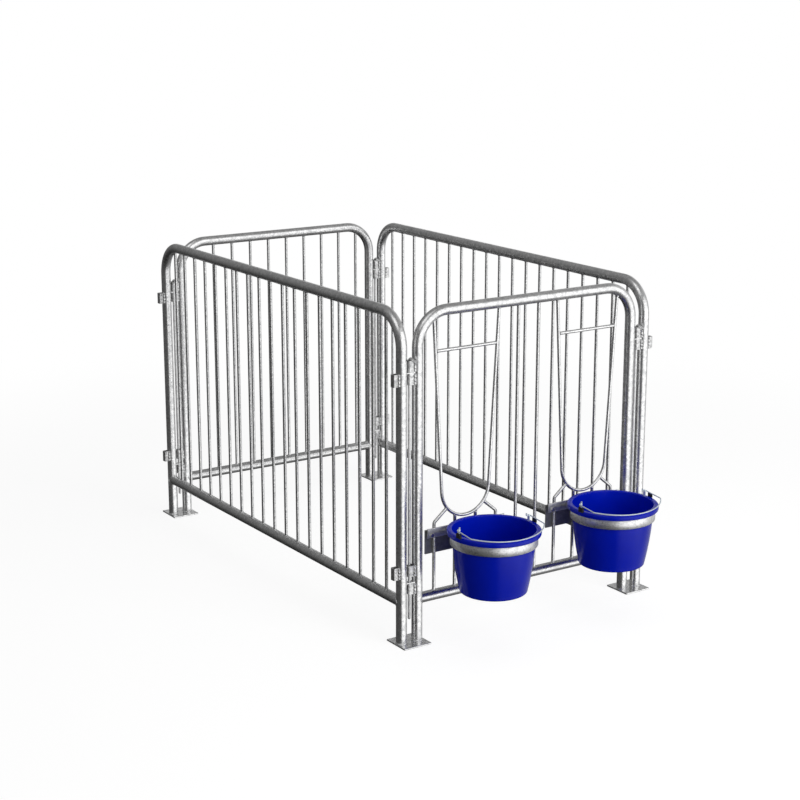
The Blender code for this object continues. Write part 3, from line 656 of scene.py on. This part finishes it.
def add_bar(rods, welds, panel, offset, top=None):
    """An upright bar with a bead at its foot, and one under the top rail if it reaches that."""
    foot = BOTTOM_RAIL_Z + TUBE_RADIUS
    reaches_rail = top is None
    if reaches_rail:
        top = panel.rail_underside(offset)
    sink = WELD_SINK if reaches_rail else 0
    ends = [panel.point(offset, foot - WELD_SINK), panel.point(offset, top + sink)]
    sweep(rods, ends, BAR_RADIUS, BAR_SIDES)
    bead(welds, circle_path(panel.point(offset, foot), UP, BAR_RADIUS, BAR_BEAD_STEPS), closed=True)
    if reaches_rail:
        step = 0.002
        rise = panel.rail_underside(offset + step) - panel.rail_underside(offset - step)
        slope = rise / (2 * step)
        tilt = UP - panel.along * slope
        seat = panel.point(offset, top)
        bead(welds, circle_path(seat, tilt, BAR_RADIUS, BAR_BEAD_STEPS), closed=True)


def saddle_path(panel, side):
    """Where the bottom rail meets a post: the seam of two tubes of the same size."""
    across = panel.along.cross(UP)
    points = []
    for step in range(SADDLE_STEPS):
        angle = 2 * pi * step / SADDLE_STEPS
        inset = TUBE_RADIUS * abs(sin(angle))
        centre = panel.point(side * (panel.half_span - inset), BOTTOM_RAIL_Z)
        points.append(centre + TUBE_RADIUS * (cos(angle) * across + sin(angle) * UP))
    return points


def build_panel(name):
    """One panel: the bent tube, the bottom rail with its bars, and the welds."""
    panel = PANELS[name]
    hoop = bmesh.new()
    hollow_tube(hoop, panel.hoop_path())
    welds = bmesh.new()
    rods = bmesh.new()
    rail_end = panel.half_span - TUBE_RADIUS / 2
    rail = [panel.point(-rail_end, BOTTOM_RAIL_Z), panel.point(rail_end, BOTTOM_RAIL_Z)]
    hollow_tube(rods, rail)
    for side in (-1, 1):
        bead(welds, saddle_path(panel, side), closed=True, radius=RAIL_BEAD_RADIUS)
        foot = panel.point(side * panel.half_span, PLATE_TOP)
        seam = circle_path(foot, UP, TUBE_RADIUS, POST_BEAD_STEPS)
        bead(welds, seam, closed=True, radius=FOOT_BEAD_RADIUS)
    if name in SIDES:
        offsets = side_offsets()
    elif name == "rear":
        offsets = end_offsets()
    else:
        offsets = [-BAR_PITCH / 2, BAR_PITCH / 2]
        add_stubs(rods, welds, panel)
    for offset in offsets:
        add_bar(rods, welds, panel, offset)
    add_tongues(hoop, name)
    piece(f"hoop_{name}_tube", hoop, "tube", stands_for=[f"hoop_{name}"])
    piece(f"infill_{name}_bars", rods, "bar", stands_for=[f"infill_{name}"])
    piece(f"panel_{name}_welds", welds, "weld")


def loop_tangent():
    """Angle, from straight up, at which a loop's leg leaves its round bottom."""
    rise = TOP_RAIL_Z - TUBE_RADIUS - LOOP_CENTRE_Z
    slant = hypot(LOOP_TOP_HALF_WIDTH, rise)
    return atan2(LOOP_TOP_HALF_WIDTH, rise) + acos(LOOP_BEND_RADIUS / slant)


def add_stubs(rods, welds, panel):
    """The four short rods under each loop: two bent inwards to its sides, two straight."""
    reach = LOOP_BEND_RADIUS + BAR_RADIUS
    foot_z = BOTTOM_RAIL_Z + TUBE_RADIUS
    for loop_side in (-1, 1):
        middle = loop_side * LOOP_X
        centre = panel.point(middle, LOOP_CENTRE_Z)
        for side in (-1, 1):
            outer = middle + side * 1.5 * BAR_PITCH
            knee = panel.point(outer, LOOP_BOTTOM_Z - STUB_KNEE_DROP)
            tip = centre + (knee - centre).normalized() * (reach - WELD_SINK)
            foot = panel.point(outer, foot_z - WELD_SINK)
            path = rounded_path([foot, knee, tip], STUB_KNEE_RADIUS, STUB_KNEE_STEPS)
            sweep(rods, path, BAR_RADIUS, BAR_SIDES)
            ground = panel.point(outer, foot_z)
            bead(welds, circle_path(ground, UP, BAR_RADIUS, BAR_BEAD_STEPS), closed=True)
            bead(welds, circle_path(tip, tip - centre, BAR_RADIUS, BAR_BEAD_STEPS), closed=True)
            inner = side * 0.5 * BAR_PITCH
            top = LOOP_CENTRE_Z - sqrt(reach * reach - inner * inner)
            add_bar(rods, welds, panel, middle + inner, top + WELD_SINK)
            seat = panel.point(middle + inner, top)
            bead(welds, circle_path(seat, seat - centre, BAR_RADIUS, BAR_BEAD_STEPS), closed=True)


def build_loop(word, side):
    """A feeding loop with its crossbar and the welds at their ends."""
    panel = PANELS["front"]
    middle = side * LOOP_X
    turn = loop_tangent()
    lean = turn - pi / 2
    rod = bmesh.new()
    welds = bmesh.new()
    path = []
    for leg in (-1, 1):
        offset = middle + leg * LOOP_TOP_HALF_WIDTH
        top = panel.rail_underside(offset) + WELD_SINK
        path.append(panel.point(offset, top))
        tilt = UP + panel.along * leg * tan(lean)
        seat = panel.point(offset, top - WELD_SINK)
        bead(welds, circle_path(seat, tilt, LOOP_SEAM_RADIUS, BAR_BEAD_STEPS), closed=True)
    low = []
    for step in range(LOOP_STEPS + 1):
        angle = -turn - (2 * pi - 2 * turn) * step / LOOP_STEPS
        x = LOOP_BEND_RADIUS * sin(angle)
        low.append(panel.point(middle + x, LOOP_CENTRE_Z + LOOP_BEND_RADIUS * cos(angle)))
    sweep(rod, [path[0]] + low + [path[1]], BAR_RADIUS, BAR_SIDES)
    piece(f"feed_loop_{word}_rod", rod, "rod", stands_for=[f"feed_loop_{word}"])

    tangent_z = LOOP_CENTRE_Z + LOOP_BEND_RADIUS * cos(turn)
    half = LOOP_BEND_RADIUS * sin(turn) + (CROSSBAR_Z - tangent_z) * tan(lean)
    reach = half - CROSSBAR_SETBACK
    crossbar = bmesh.new()
    ends = [panel.point(middle - reach, CROSSBAR_Z), panel.point(middle + reach, CROSSBAR_Z)]
    sweep(crossbar, ends, BAR_RADIUS, BAR_SIDES)
    for leg in (-1, 1):
        seat = panel.point(middle + leg * (half - BAR_RADIUS), CROSSBAR_Z)
        bead(welds, circle_path(seat, panel.along, BAR_RADIUS, BAR_BEAD_STEPS), closed=True)
    piece(f"loop_crossbar_{word}_rod", crossbar, "rod", stands_for=[f"loop_crossbar_{word}"])
    piece(f"feed_loop_{word}_welds", welds, "weld")


def tongue_levels():
    """Heights of the eye tongues: each lies on the lower strap of its pair."""
    tops = [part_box(f"strap_front_left_{level}_1")[1].z for level in ("upper", "lower")]
    return [top + JOINT_GAP + TONGUE_THICKNESS / 2 for top in tops]


def corner_middle(end, side):
    """Where a corner's pin stands: over the middle of its base plate."""
    low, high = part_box(f"base_plate_{end}_{side}")
    return (low.x + high.x) / 2, (low.y + high.y) / 2


def add_tongues(hoop, name):
    """The eye plates on a hoop's posts, through which the drop pins pass."""
    if name == "left":
        corners = [("front", "left"), ("rear", "left")]
    elif name in ENDS:
        corners = [(name, "right")]
    else:
        corners = []
    for end, side in corners:
        middle, y = corner_middle(end, side)
        for height in tongue_levels():
            add_tongue(hoop, middle, y, height)


def tongue_outline():
    """Eye tongue round the pin: (angle, reach) pairs from the eye's middle to the plate's edge.

    The root lies inside the post's wall and the far end is hollowed round the other post.
    """
    half = TONGUE_HALF_WIDTH
    middle = POST_PITCH / 2
    root = middle - TONGUE_ROOT
    hollow = TUBE_RADIUS + RUNNING_GAP
    corner = middle - sqrt(hollow * hollow - half * half)
    angles = [2 * pi * step / TONGUE_STEPS for step in range(TONGUE_STEPS)]
    for x in (corner, -root):
        angles += [atan2(half, x) % (2 * pi), atan2(-half, x) % (2 * pi)]
    outline = []
    for angle in sorted(angles):
        reach = half / max(abs(sin(angle)), 0.001)
        if cos(angle) < 0:
            reach = min(reach, root / -cos(angle))
        else:
            nearest = middle * cos(angle)
            inside = nearest * nearest - middle * middle + hollow * hollow
            if inside >= 0:
                reach = min(reach, nearest - sqrt(inside))
        outline.append((angle, reach))
    return outline


def add_tongue(bm, eye_x, eye_y, height):
    """A flat tongue with an eye."""
    depths = (height - TONGUE_THICKNESS / 2, height + TONGUE_THICKNESS / 2)

    def place(x, y, z):
        """A point round the eye."""
        return Vector((eye_x + x, eye_y + y, z))

    holed_plate(bm, tongue_outline(), PIN_RADIUS + RUNNING_GAP, depths, place)


def level_faces(obj):
    """Shades rounded edges smoothly while the flat faces between them stay flat."""
    mesh = obj.data
    around = [[] for _ in mesh.vertices]
    for face in mesh.polygons:
        for index in face.vertices:
            around[index].append(face)
    normals = []
    for face in mesh.polygons:
        for index in face.vertices:
            total = Vector()
            for other in around[index]:
                if other.normal.dot(face.normal) > SAME_FACE_COSINE:
                    total += other.normal * other.area
            normals.append(total.normalized())
    mesh.normals_split_custom_set(normals)


def refined(name, node, material, bevel):
    """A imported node's own shape, with its edges rounded."""
    bm = bmesh.new()
    bm.from_mesh(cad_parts[node].data)
    bmesh.ops.remove_doubles(bm, verts=bm.verts, dist=MERGE_DISTANCE)
    bmesh.ops.dissolve_limit(bm, angle_limit=FLAT_ANGLE, verts=bm.verts, edges=bm.edges)
    shared = [edge for edge in bm.edges if len(edge.link_faces) == 2]
    edges = [edge for edge in shared if edge.calc_face_angle() > SMOOTH_ANGLE]
    bmesh.ops.bevel(
        bm, geom=edges, offset=bevel, offset_type="OFFSET", segments=BEVEL_SEGMENTS,
        profile=0.5, affect="EDGES", clamp_overlap=True,
    )
    level_faces(piece(name, bm, material, stands_for=[node]))


def build_corner(end, side):
    """A corner's base plate, drop pin, straps and lugs."""
    corner = f"{end}_{side}"
    middle, y = corner_middle(end, side)
    refined(f"base_plate_{corner}_steel", f"base_plate_{corner}", "plate", STEEL_BEVEL)
    build_pin(corner, middle, y)
    welds = bmesh.new()
    right_x = middle + POST_PITCH / 2
    for level in ("upper", "lower"):
        for number in (1, 2):
            node = f"strap_{corner}_{level}_{number}"
            refined(f"{node}_strip", node, "strap", STEEL_BEVEL)
            strap_welds(welds, node, right_x, y, -1)
        node = f"lug_{corner}_{level}"
        refined(f"{node}_strip", node, "strap", STEEL_BEVEL)
        strap_welds(welds, node, SIDES[side] * SIDE_X, y, SIDES[side])
    piece(f"corner_{corner}_welds", welds, "weld")


def strap_welds(welds, node, post_x, y, direction):
    """A lap of weld down each leg of a strap or lug, where it meets the post."""
    low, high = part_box(node)
    half = (high.y - low.y) / 2
    reach = sqrt(TUBE_RADIUS * TUBE_RADIUS - half * half) + LAP_BEAD_OFF_POST
    for leg in (-1, 1):
        x = post_x + direction * reach
        off = y + leg * (half + LAP_BEAD_OFF_LEG)
        start = Vector((x, off, low.z + LAP_BEAD_END))
        lap_bead(welds, start, Vector((x, off, high.z - LAP_BEAD_END)))


def build_pin(corner, x, y):
    """A long drop pin with a bent-over handle and a rounded tip."""
    node = f"drop_pin_{corner}"
    low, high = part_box(node)
    crest = high.z - PIN_RADIUS
    turn = pi / 2 + PIN_DROOP
    bend_top = crest + PIN_BEND_RADIUS * (tan(turn / 2) - 1)
    reach = y - low.y - PIN_RADIUS * sin(PIN_DROOP)
    tip = bend_top - reach * tan(PIN_DROOP)
    corners = [(x, y, low.z), (x, y, bend_top), (x, y - reach, tip)]
    path = rounded_path(corners, PIN_BEND_RADIUS, PIN_BEND_STEPS)
    foot_way = (path[1] - path[0]).normalized()
    handle_way = (path[-2] - path[-1]).normalized()
    foot = [path[0] + foot_way * depth for depth, _ in PIN_NOSE]
    handle = [path[-1] + handle_way * depth for depth, _ in reversed(PIN_NOSE)]
    tapers = [PIN_RADIUS * size for _, size in PIN_NOSE]
    radii = tapers + [PIN_RADIUS] * (len(path) - 2) + tapers[::-1]
    bm = bmesh.new()
    sweep(bm, foot + path[1:-1] + handle, radii, PIN_SIDES)
    piece(f"{node}_rod", bm, "pin", f"pin_{corner}", [node])


def ring_line(side):
    """The middle line of a bucket ring, from one tail's end round the front to the other's."""
    centre_x = side * LOOP_X
    radius = BUCKET_Y - RING_LOW.y - STRIP_THICKNESS / 2
    tail_y = RING_HIGH.y - BUCKET_Y - STRIP_THICKNESS / 2
    bend_y = tail_y - RING_BEND_RADIUS
    bend_x = sqrt((radius + RING_BEND_RADIUS) ** 2 - bend_y ** 2)
    meet = atan2(bend_y, bend_x)
    half = []
    for step in range(RING_STEPS + 1):
        angle = -pi / 2 + (meet + pi / 2) * step / RING_STEPS
        half.append((radius * cos(angle), radius * sin(angle)))
    for step in range(1, RING_TAIL_STEPS + 1):
        angle = meet + pi + (pi / 2 - meet - pi) * step / RING_TAIL_STEPS
        x = bend_x + RING_BEND_RADIUS * cos(angle)
        half.append((x, bend_y + RING_BEND_RADIUS * sin(angle)))
    half.append(((RING_HIGH.x - RING_LOW.x) / 2, tail_y))
    line = [(-x, y) for x, y in reversed(half)] + half[1:]
    return [Vector((centre_x + x, BUCKET_Y + y, 0)) for x, y in line]


def build_ring(word, side):
    """A flat strip with rounded edges, bent round the bucket and along the bars."""
    line = ring_line(side)
    directions = tangents(line, False)
    half = STRIP_THICKNESS / 2
    edge = RING_EDGE
    section = [
        (-half, RING_LOW.z + edge), (-half + edge, RING_LOW.z), (half - edge, RING_LOW.z),
        (half, RING_LOW.z + edge), (half, RING_HIGH.z - edge), (half - edge, RING_HIGH.z),
        (-half + edge, RING_HIGH.z), (-half, RING_HIGH.z - edge),
    ]
    bm = bmesh.new()
    rings = []
    for point, along in zip(line, directions):
        across = along.cross(UP)
        ring = [bm.verts.new(point + across * shift + UP * height) for shift, height in section]
        rings.append(ring)
    join_all(bm, rings)
    piece(
        f"bucket_ring_{word}_strip", bm, "ring",
        stands_for=[f"bucket_ring_{word}"], smooth_angle=RING_SMOOTH_ANGLE,
    )


def lathe(bm, profile, centre, sides):
    """A closed turned shell, whose profile's ends are closed by discs."""
    rings = []
    for radius, height in profile:
        ring = []
        for side in range(sides):
            angle = 2 * pi * side / sides
            place = Vector((radius * cos(angle), radius * sin(angle), height))
            ring.append(bm.verts.new(centre + place))
        rings.append(ring)
    join_all(bm, rings)


def arc(x, y, radius, start, end, steps):
    """Points of a circular arc in a plane, both ends included."""
    points = []
    for step in range(steps + 1):
        angle = start + (end - start) * step / steps
        points.append((x + radius * cos(angle), y + radius * sin(angle)))
    return points


def bucket_profile():
    """Radius and height over the foot, from under the base, up the outside and down the inside."""
    taper = (BUCKET_NECK_RADIUS - BUCKET_BASE_RADIUS) / BUCKET_DEPTH
    foot = BUCKET_FOOT
    profile = [(BUCKET_BASE_RADIUS - inset, BUCKET_FOOT_RISE) for inset in BUCKET_BASE_INSETS]
    profile += [(BUCKET_BASE_RADIUS - inset, 0.0) for inset in (BUCKET_FOOT_INSET, foot)]
    profile += arc(BUCKET_BASE_RADIUS - foot, foot, foot, -pi / 2, 0, 8)[1:]
    for share in BUCKET_SIDE_SHARES:
        bulge = BUCKET_BULGE * 4 * share * (1 - share)
        straight = BUCKET_BASE_RADIUS + (BUCKET_NECK_RADIUS - BUCKET_BASE_RADIUS) * share
        profile.append((straight + bulge, foot + (BUCKET_DEPTH - foot) * share))
    lip_low = BUCKET_DEPTH
    top = BUCKET_DEPTH + BUCKET_RIM_HEIGHT
    profile += [(BUCKET_NECK_RADIUS + out, lip_low + up) for out, up in NECK_CORNER]
    profile += arc(RIM_RADIUS - LIP_SETBACK, lip_low + LIP_SETBACK, LIP_ROUNDING, -pi / 2, 0, 5)
    profile += arc(RIM_RADIUS - RIM_ROUNDING, top - RIM_ROUNDING, RIM_ROUNDING, 0, pi / 2, 8)
    inner_mouth = BUCKET_NECK_RADIUS - BUCKET_WALL + taper * BUCKET_RIM_HEIGHT
    profile += arc(inner_mouth + LIP_ROUNDING, top - LIP_ROUNDING, LIP_ROUNDING, pi / 2, pi, 5)
    floor = BUCKET_WALL + BUCKET_FOOT_RISE
    inner_foot = foot - BUCKET_WALL
    inner_base = BUCKET_BASE_RADIUS - BUCKET_WALL + taper * floor
    for share in BUCKET_INSIDE_SHARES:
        inside = inner_base + (inner_mouth - inner_base) * share
        profile.append((inside, floor + (top - floor) * share))
    profile += arc(inner_base - inner_foot, floor + inner_foot, inner_foot, 0, -pi / 2, 6)
    return profile


def build_bucket(word, side):
    """A bucket with a rolled rim and two ears for the bail."""
    centre = Vector((side * LOOP_X, BUCKET_Y, BUCKET_LOW.z))
    bm = bmesh.new()
    lathe(bm, bucket_profile(), centre, BUCKET_SIDES)
    pivot = Vector((side * LOOP_X, BUCKET_Y, RIM_TOP + PIVOT_ABOVE_RIM))
    piece(f"bucket_{word}_plastic", bm, "bucket", f"bucket_{word}", [f"bucket_{word}"])
    ears = bmesh.new()
    tabs = bmesh.new()
    for ear_side in (-1, 1):
        add_ear(ears, pivot, ear_side)
        add_tab(tabs, pivot, ear_side)
    piece(f"bucket_{word}_ears", ears, "bail", f"bucket_{word}")
    piece(
        f"bucket_{word}_tabs", tabs, "tab", f"bucket_{word}",
        smooth_angle=TAB_SMOOTH_ANGLE,
    )


def ear_outline():
    """Ear round the wire's hole: (angle, reach) pairs, with a round top and square feet."""
    half = EAR_HALF_WIDTH
    foot = PIVOT_ABOVE_RIM + EAR_SINK
    angles = [2 * pi * step / EAR_STEPS for step in range(EAR_STEPS)]
    angles += [atan2(-foot, half) % (2 * pi), atan2(-foot, -half) % (2 * pi)]
    outline = []
    for angle in sorted(angles):
        reach = half
        if sin(angle) < 0:
            reach = min(foot / -sin(angle), half / max(abs(cos(angle)), 0.001))
        outline.append((angle, reach))
    return outline


def add_ear(bm, pivot, ear_side):
    """An upstanding steel ear with a hole for the wire."""
    depths = (EAR_INNER_RADIUS, EAR_INNER_RADIUS + EAR_THICKNESS)

    def place(y, z, depth):
        """A point round the pivot."""
        return pivot + Vector((ear_side * depth, y, z))

    holed_plate(bm, ear_outline(), WIRE_RADIUS + RUNNING_GAP, depths, place)


def add_tab(bm, pivot, ear_side):
    """A black moulded tab on the rim beside each ear, with rounded edges."""
    inner = BAIL_HALF_WIDTH + WIRE_RADIUS + TAB_GAP
    low = Vector((inner, TAB_SPAN[0], -PIVOT_ABOVE_RIM - TAB_SINK))
    high = Vector((RIM_RADIUS - TAB_INSET, TAB_SPAN[1], -PIVOT_ABOVE_RIM + TAB_RISE))
    made = bmesh.ops.create_cube(bm, size=1)["verts"]
    for vert in made:
        share = vert.co + Vector((0.5, 0.5, 0.5))
        place = Vector([a + (b - a) * s for a, b, s in zip(low, high, share)])
        vert.co = pivot + Vector((place.x * ear_side, place.y, place.z))
    edges = list({edge for vert in made for edge in vert.link_edges})
    bmesh.ops.bevel(
        bm, geom=edges, offset=TAB_BEVEL, offset_type="OFFSET", segments=3, profile=0.5,
        affect="EDGES", clamp_overlap=True,
    )


def bail_path():
    """A bail's middle line, lying flat: from inside one ear round the front to the other."""
    rise = BAIL_REACH - BAIL_LEG
    bow_radius = (BAIL_HALF_WIDTH * BAIL_HALF_WIDTH + rise * rise) / (2 * rise)
    spread = asin(BAIL_HALF_WIDTH / bow_radius)
    centre = bow_radius - BAIL_REACH
    curve = arc(0, centre, bow_radius, -pi / 2 - spread, -pi / 2, BOW_STEPS)
    bow = [Vector((x, y, 0)) for x, y in curve]
    inside = BAIL_INSIDE_EAR - EAR_INNER_RADIUS
    curl = [Vector((inside, y, z)) for y, z in BAIL_CURL]
    corners = curl + [Vector((inside, 0, 0)), Vector((-BAIL_HALF_WIDTH, 0, 0)), bow[0], bow[1]]
    left = rounded_path(corners, BAIL_BEND_RADIUS, BAIL_BEND_STEPS) + bow[2:]
    right = [Vector((-point.x, point.y, point.z)) for point in reversed(left[:-1])]
    return left + right


def build_bail(word, side):
    """The wire bail, lying forward with its bow on the rim and its ends curled in the ears."""
    pivot = Vector((side * LOOP_X, BUCKET_Y, RIM_TOP + PIVOT_ABOVE_RIM))
    sag = asin((PIVOT_ABOVE_RIM - WIRE_RADIUS - JOINT_GAP) / BAIL_REACH)
    turn = Matrix.Rotation(sag, 3, "X")
    wire = bmesh.new()
    sweep(wire, [pivot + turn @ point for point in bail_path()], WIRE_RADIUS, WIRE_SIDES)
    piece(f"bail_{word}_wire", wire, "bail", f"bail_{word}", [f"bail_{word}"])


def build_feeder(word, side):
    """A bucket with its holder and bail."""
    build_ring(word, side)
    plate = f"holder_plate_{word}"
    refined(f"{plate}_steel", plate, "holder", STEEL_BEVEL)
    for number in (1, 2):
        node = f"holder_bolt_{word}_{number}"
        refined(f"{node}_steel", node, "bolt", BOLT_BEVEL)
    build_bucket(word, side)
    build_bail(word, side)


def view_rays(graph):
    """1 for the camera's rays and for those that metal or glass sends on."""
    rays = graph.node("ShaderNodeLightPath").outputs
    first = graph.math("MAXIMUM", rays["Is Camera Ray"], rays["Is Glossy Ray"])
    return graph.math("MAXIMUM", first, rays["Is Transmission Ray"])


def floor_material():
    """Seen, it keeps the object's shadow and fades to white. For bounced light it is grey."""
    material = bpy.data.materials.new("floor")
    material.use_nodes = True
    graph = Graph(material.node_tree)
    graph.tree.nodes.clear()
    shadow = graph.node("ShaderNodeBsdfDiffuse")
    shadow.inputs["Color"].default_value = (*grey(SHADOW_SHARE), 1.0)
    lift = graph.node("ShaderNodeEmission")
    lift.inputs["Strength"].default_value = FLOOR_LIFT
    near = graph.node("ShaderNodeAddShader")
    graph.link(shadow.outputs[0], near.inputs[0])
    graph.link(lift.outputs[0], near.inputs[1])
    distance = graph.node("ShaderNodeVectorMath", operation="LENGTH")
    graph.link(graph.node("ShaderNodeNewGeometry").outputs["Position"], distance.inputs[0])
    fade = graph.spread(distance.outputs["Value"], FLOOR_FADE, curve="SMOOTHSTEP")
    seen = graph.mix_shaders(fade, near, graph.node("ShaderNodeEmission"))
    bounce = graph.node("ShaderNodeBsdfDiffuse")
    bounce.inputs["Color"].default_value = (*grey(FLOOR_TONE), 1.0)
    surface = graph.mix_shaders(view_rays(graph), bounce, seen)
    out = graph.node("ShaderNodeOutputMaterial")
    graph.link(surface.outputs[0], out.inputs["Surface"])
    return material


def add_floor():
    """A wide pale floor just under the base plates."""
    mesh = bpy.data.meshes.new("floor")
    signs = ((-1, -1), (1, -1), (1, 1), (-1, 1))
    corners = [(x * FLOOR_REACH, y * FLOOR_REACH, 0) for x, y in signs]
    mesh.from_pydata(corners, [], [(0, 1, 2, 3)])
    floor = bpy.data.objects.new("floor", mesh)
    floor.location = (0, 0, -FLOOR_DROP)
    bpy.context.scene.collection.objects.link(floor)
    floor.visible_glossy = False
    mesh.materials.append(floor_material())


def add_world():
    """White where it is seen, an even fill for plastic and floor, and a studio for the metal.

    The metal sees a dark wall on the left, a bright wide window at the front right, a grey
    back wall, and a grey ceiling with one skylight.
    """
    world = bpy.data.worlds.new("studio")
    bpy.context.scene.world = world
    world.use_nodes = True
    graph = Graph(world.node_tree)
    direction = graph.node("ShaderNodeTexCoord").outputs["Generated"]

    def along(axis):
        """How far a direction points along an axis."""
        dot = graph.node("ShaderNodeVectorMath", operation="DOT_PRODUCT")
        graph.link(direction, dot.inputs[0])
        dot.inputs[1].default_value = axis
        return dot.outputs["Value"]

    def towards(axis, edge):
        """A soft step from 0 to 1 as directions turn to an axis."""
        return graph.spread(along(axis), edge, curve="SMOOTHSTEP")

    def wall(tones):
        """The tones of a wall, spread over the heights of directions."""
        return graph.ramp(level, *[((height + 1) / 2, grey(tone)) for height, tone in tones])

    def plain(tone):
        """One grey for all directions."""
        node = graph.node("ShaderNodeRGB")
        node.outputs[0].default_value = (*grey(tone), 1.0)
        return node.outputs[0]

    level = graph.spread(along(UP), (-1, 1))
    window_way = CAMERA_AZIMUTH + WINDOW_TURN
    to_window = (cos(window_way), sin(window_way), 0)
    lamp_way = CAMERA_AZIMUTH + SKYLIGHT_TURN
    level_share = cos(SKYLIGHT_RISE)
    overhead = (cos(lamp_way) * level_share, sin(lamp_way) * level_share, sin(SKYLIGHT_RISE))
    studio = graph.mix(towards(CAMERA_RIGHT, RIGHT_WALL_EDGE), wall(LEFT_WALL), wall(RIGHT_WALL))
    studio = graph.mix(towards(to_window, WINDOW_EDGE), studio, wall(WINDOW))
    studio = graph.mix(towards(CAMERA_AHEAD, BACK_WALL_EDGE), studio, wall(BACK_WALL))
    studio = graph.mix(towards(overhead, SKYLIGHT_EDGE), studio, plain(SKYLIGHT_TONE))
    rays = graph.node("ShaderNodeLightPath").outputs
    colour = graph.mix(rays["Is Glossy Ray"], plain(WORLD_FILL), studio)
    for ray in ("Is Transmission Ray", "Is Camera Ray"):
        colour = graph.mix(rays[ray], colour, plain(1.0))
    graph.link(colour, graph.tree.nodes["Background"].inputs["Color"])


def add_softbox(name, place, target, radiance):
    """A large square lamp, seen by plastic and floor only. Its power gives its face's radiance."""
    right, ahead, up = place
    place = CAMERA_RIGHT * right + CAMERA_AHEAD * ahead + UP * up
    data = bpy.data.lights.new(name, "AREA")
    data.shape = "RECTANGLE"
    data.size = LAMP_SIZE
    data.size_y = LAMP_SIZE
    data.energy = radiance * pi * LAMP_SIZE * LAMP_SIZE
    lamp = bpy.data.objects.new(name, data)
    lamp.location = place
    lamp.rotation_euler = (Vector(target) - place).to_track_quat("-Z", "Y").to_euler()
    lamp.visible_camera = False
    lamp.visible_glossy = False
    bpy.context.scene.collection.objects.link(lamp)


def add_studio():
    """Floor, world and two soft lamps for the plastic and the floor."""
    add_floor()
    add_world()
    add_softbox("key", KEY_PLACE, KEY_TARGET, KEY_RADIANCE)
    add_softbox("top", TOP_PLACE, (0, 0, 0), TOP_RADIANCE)


add_camera()
for panel_name in PANELS:
    build_panel(panel_name)
for side_name, side_sign in SIDES.items():
    build_loop(side_name, side_sign)
    build_feeder(side_name, side_sign)
for end_name in ENDS:
    for side_name in SIDES:
        build_corner(end_name, side_name)
add_studio()

bpy.context.scene.view_settings.view_transform = "Standard"
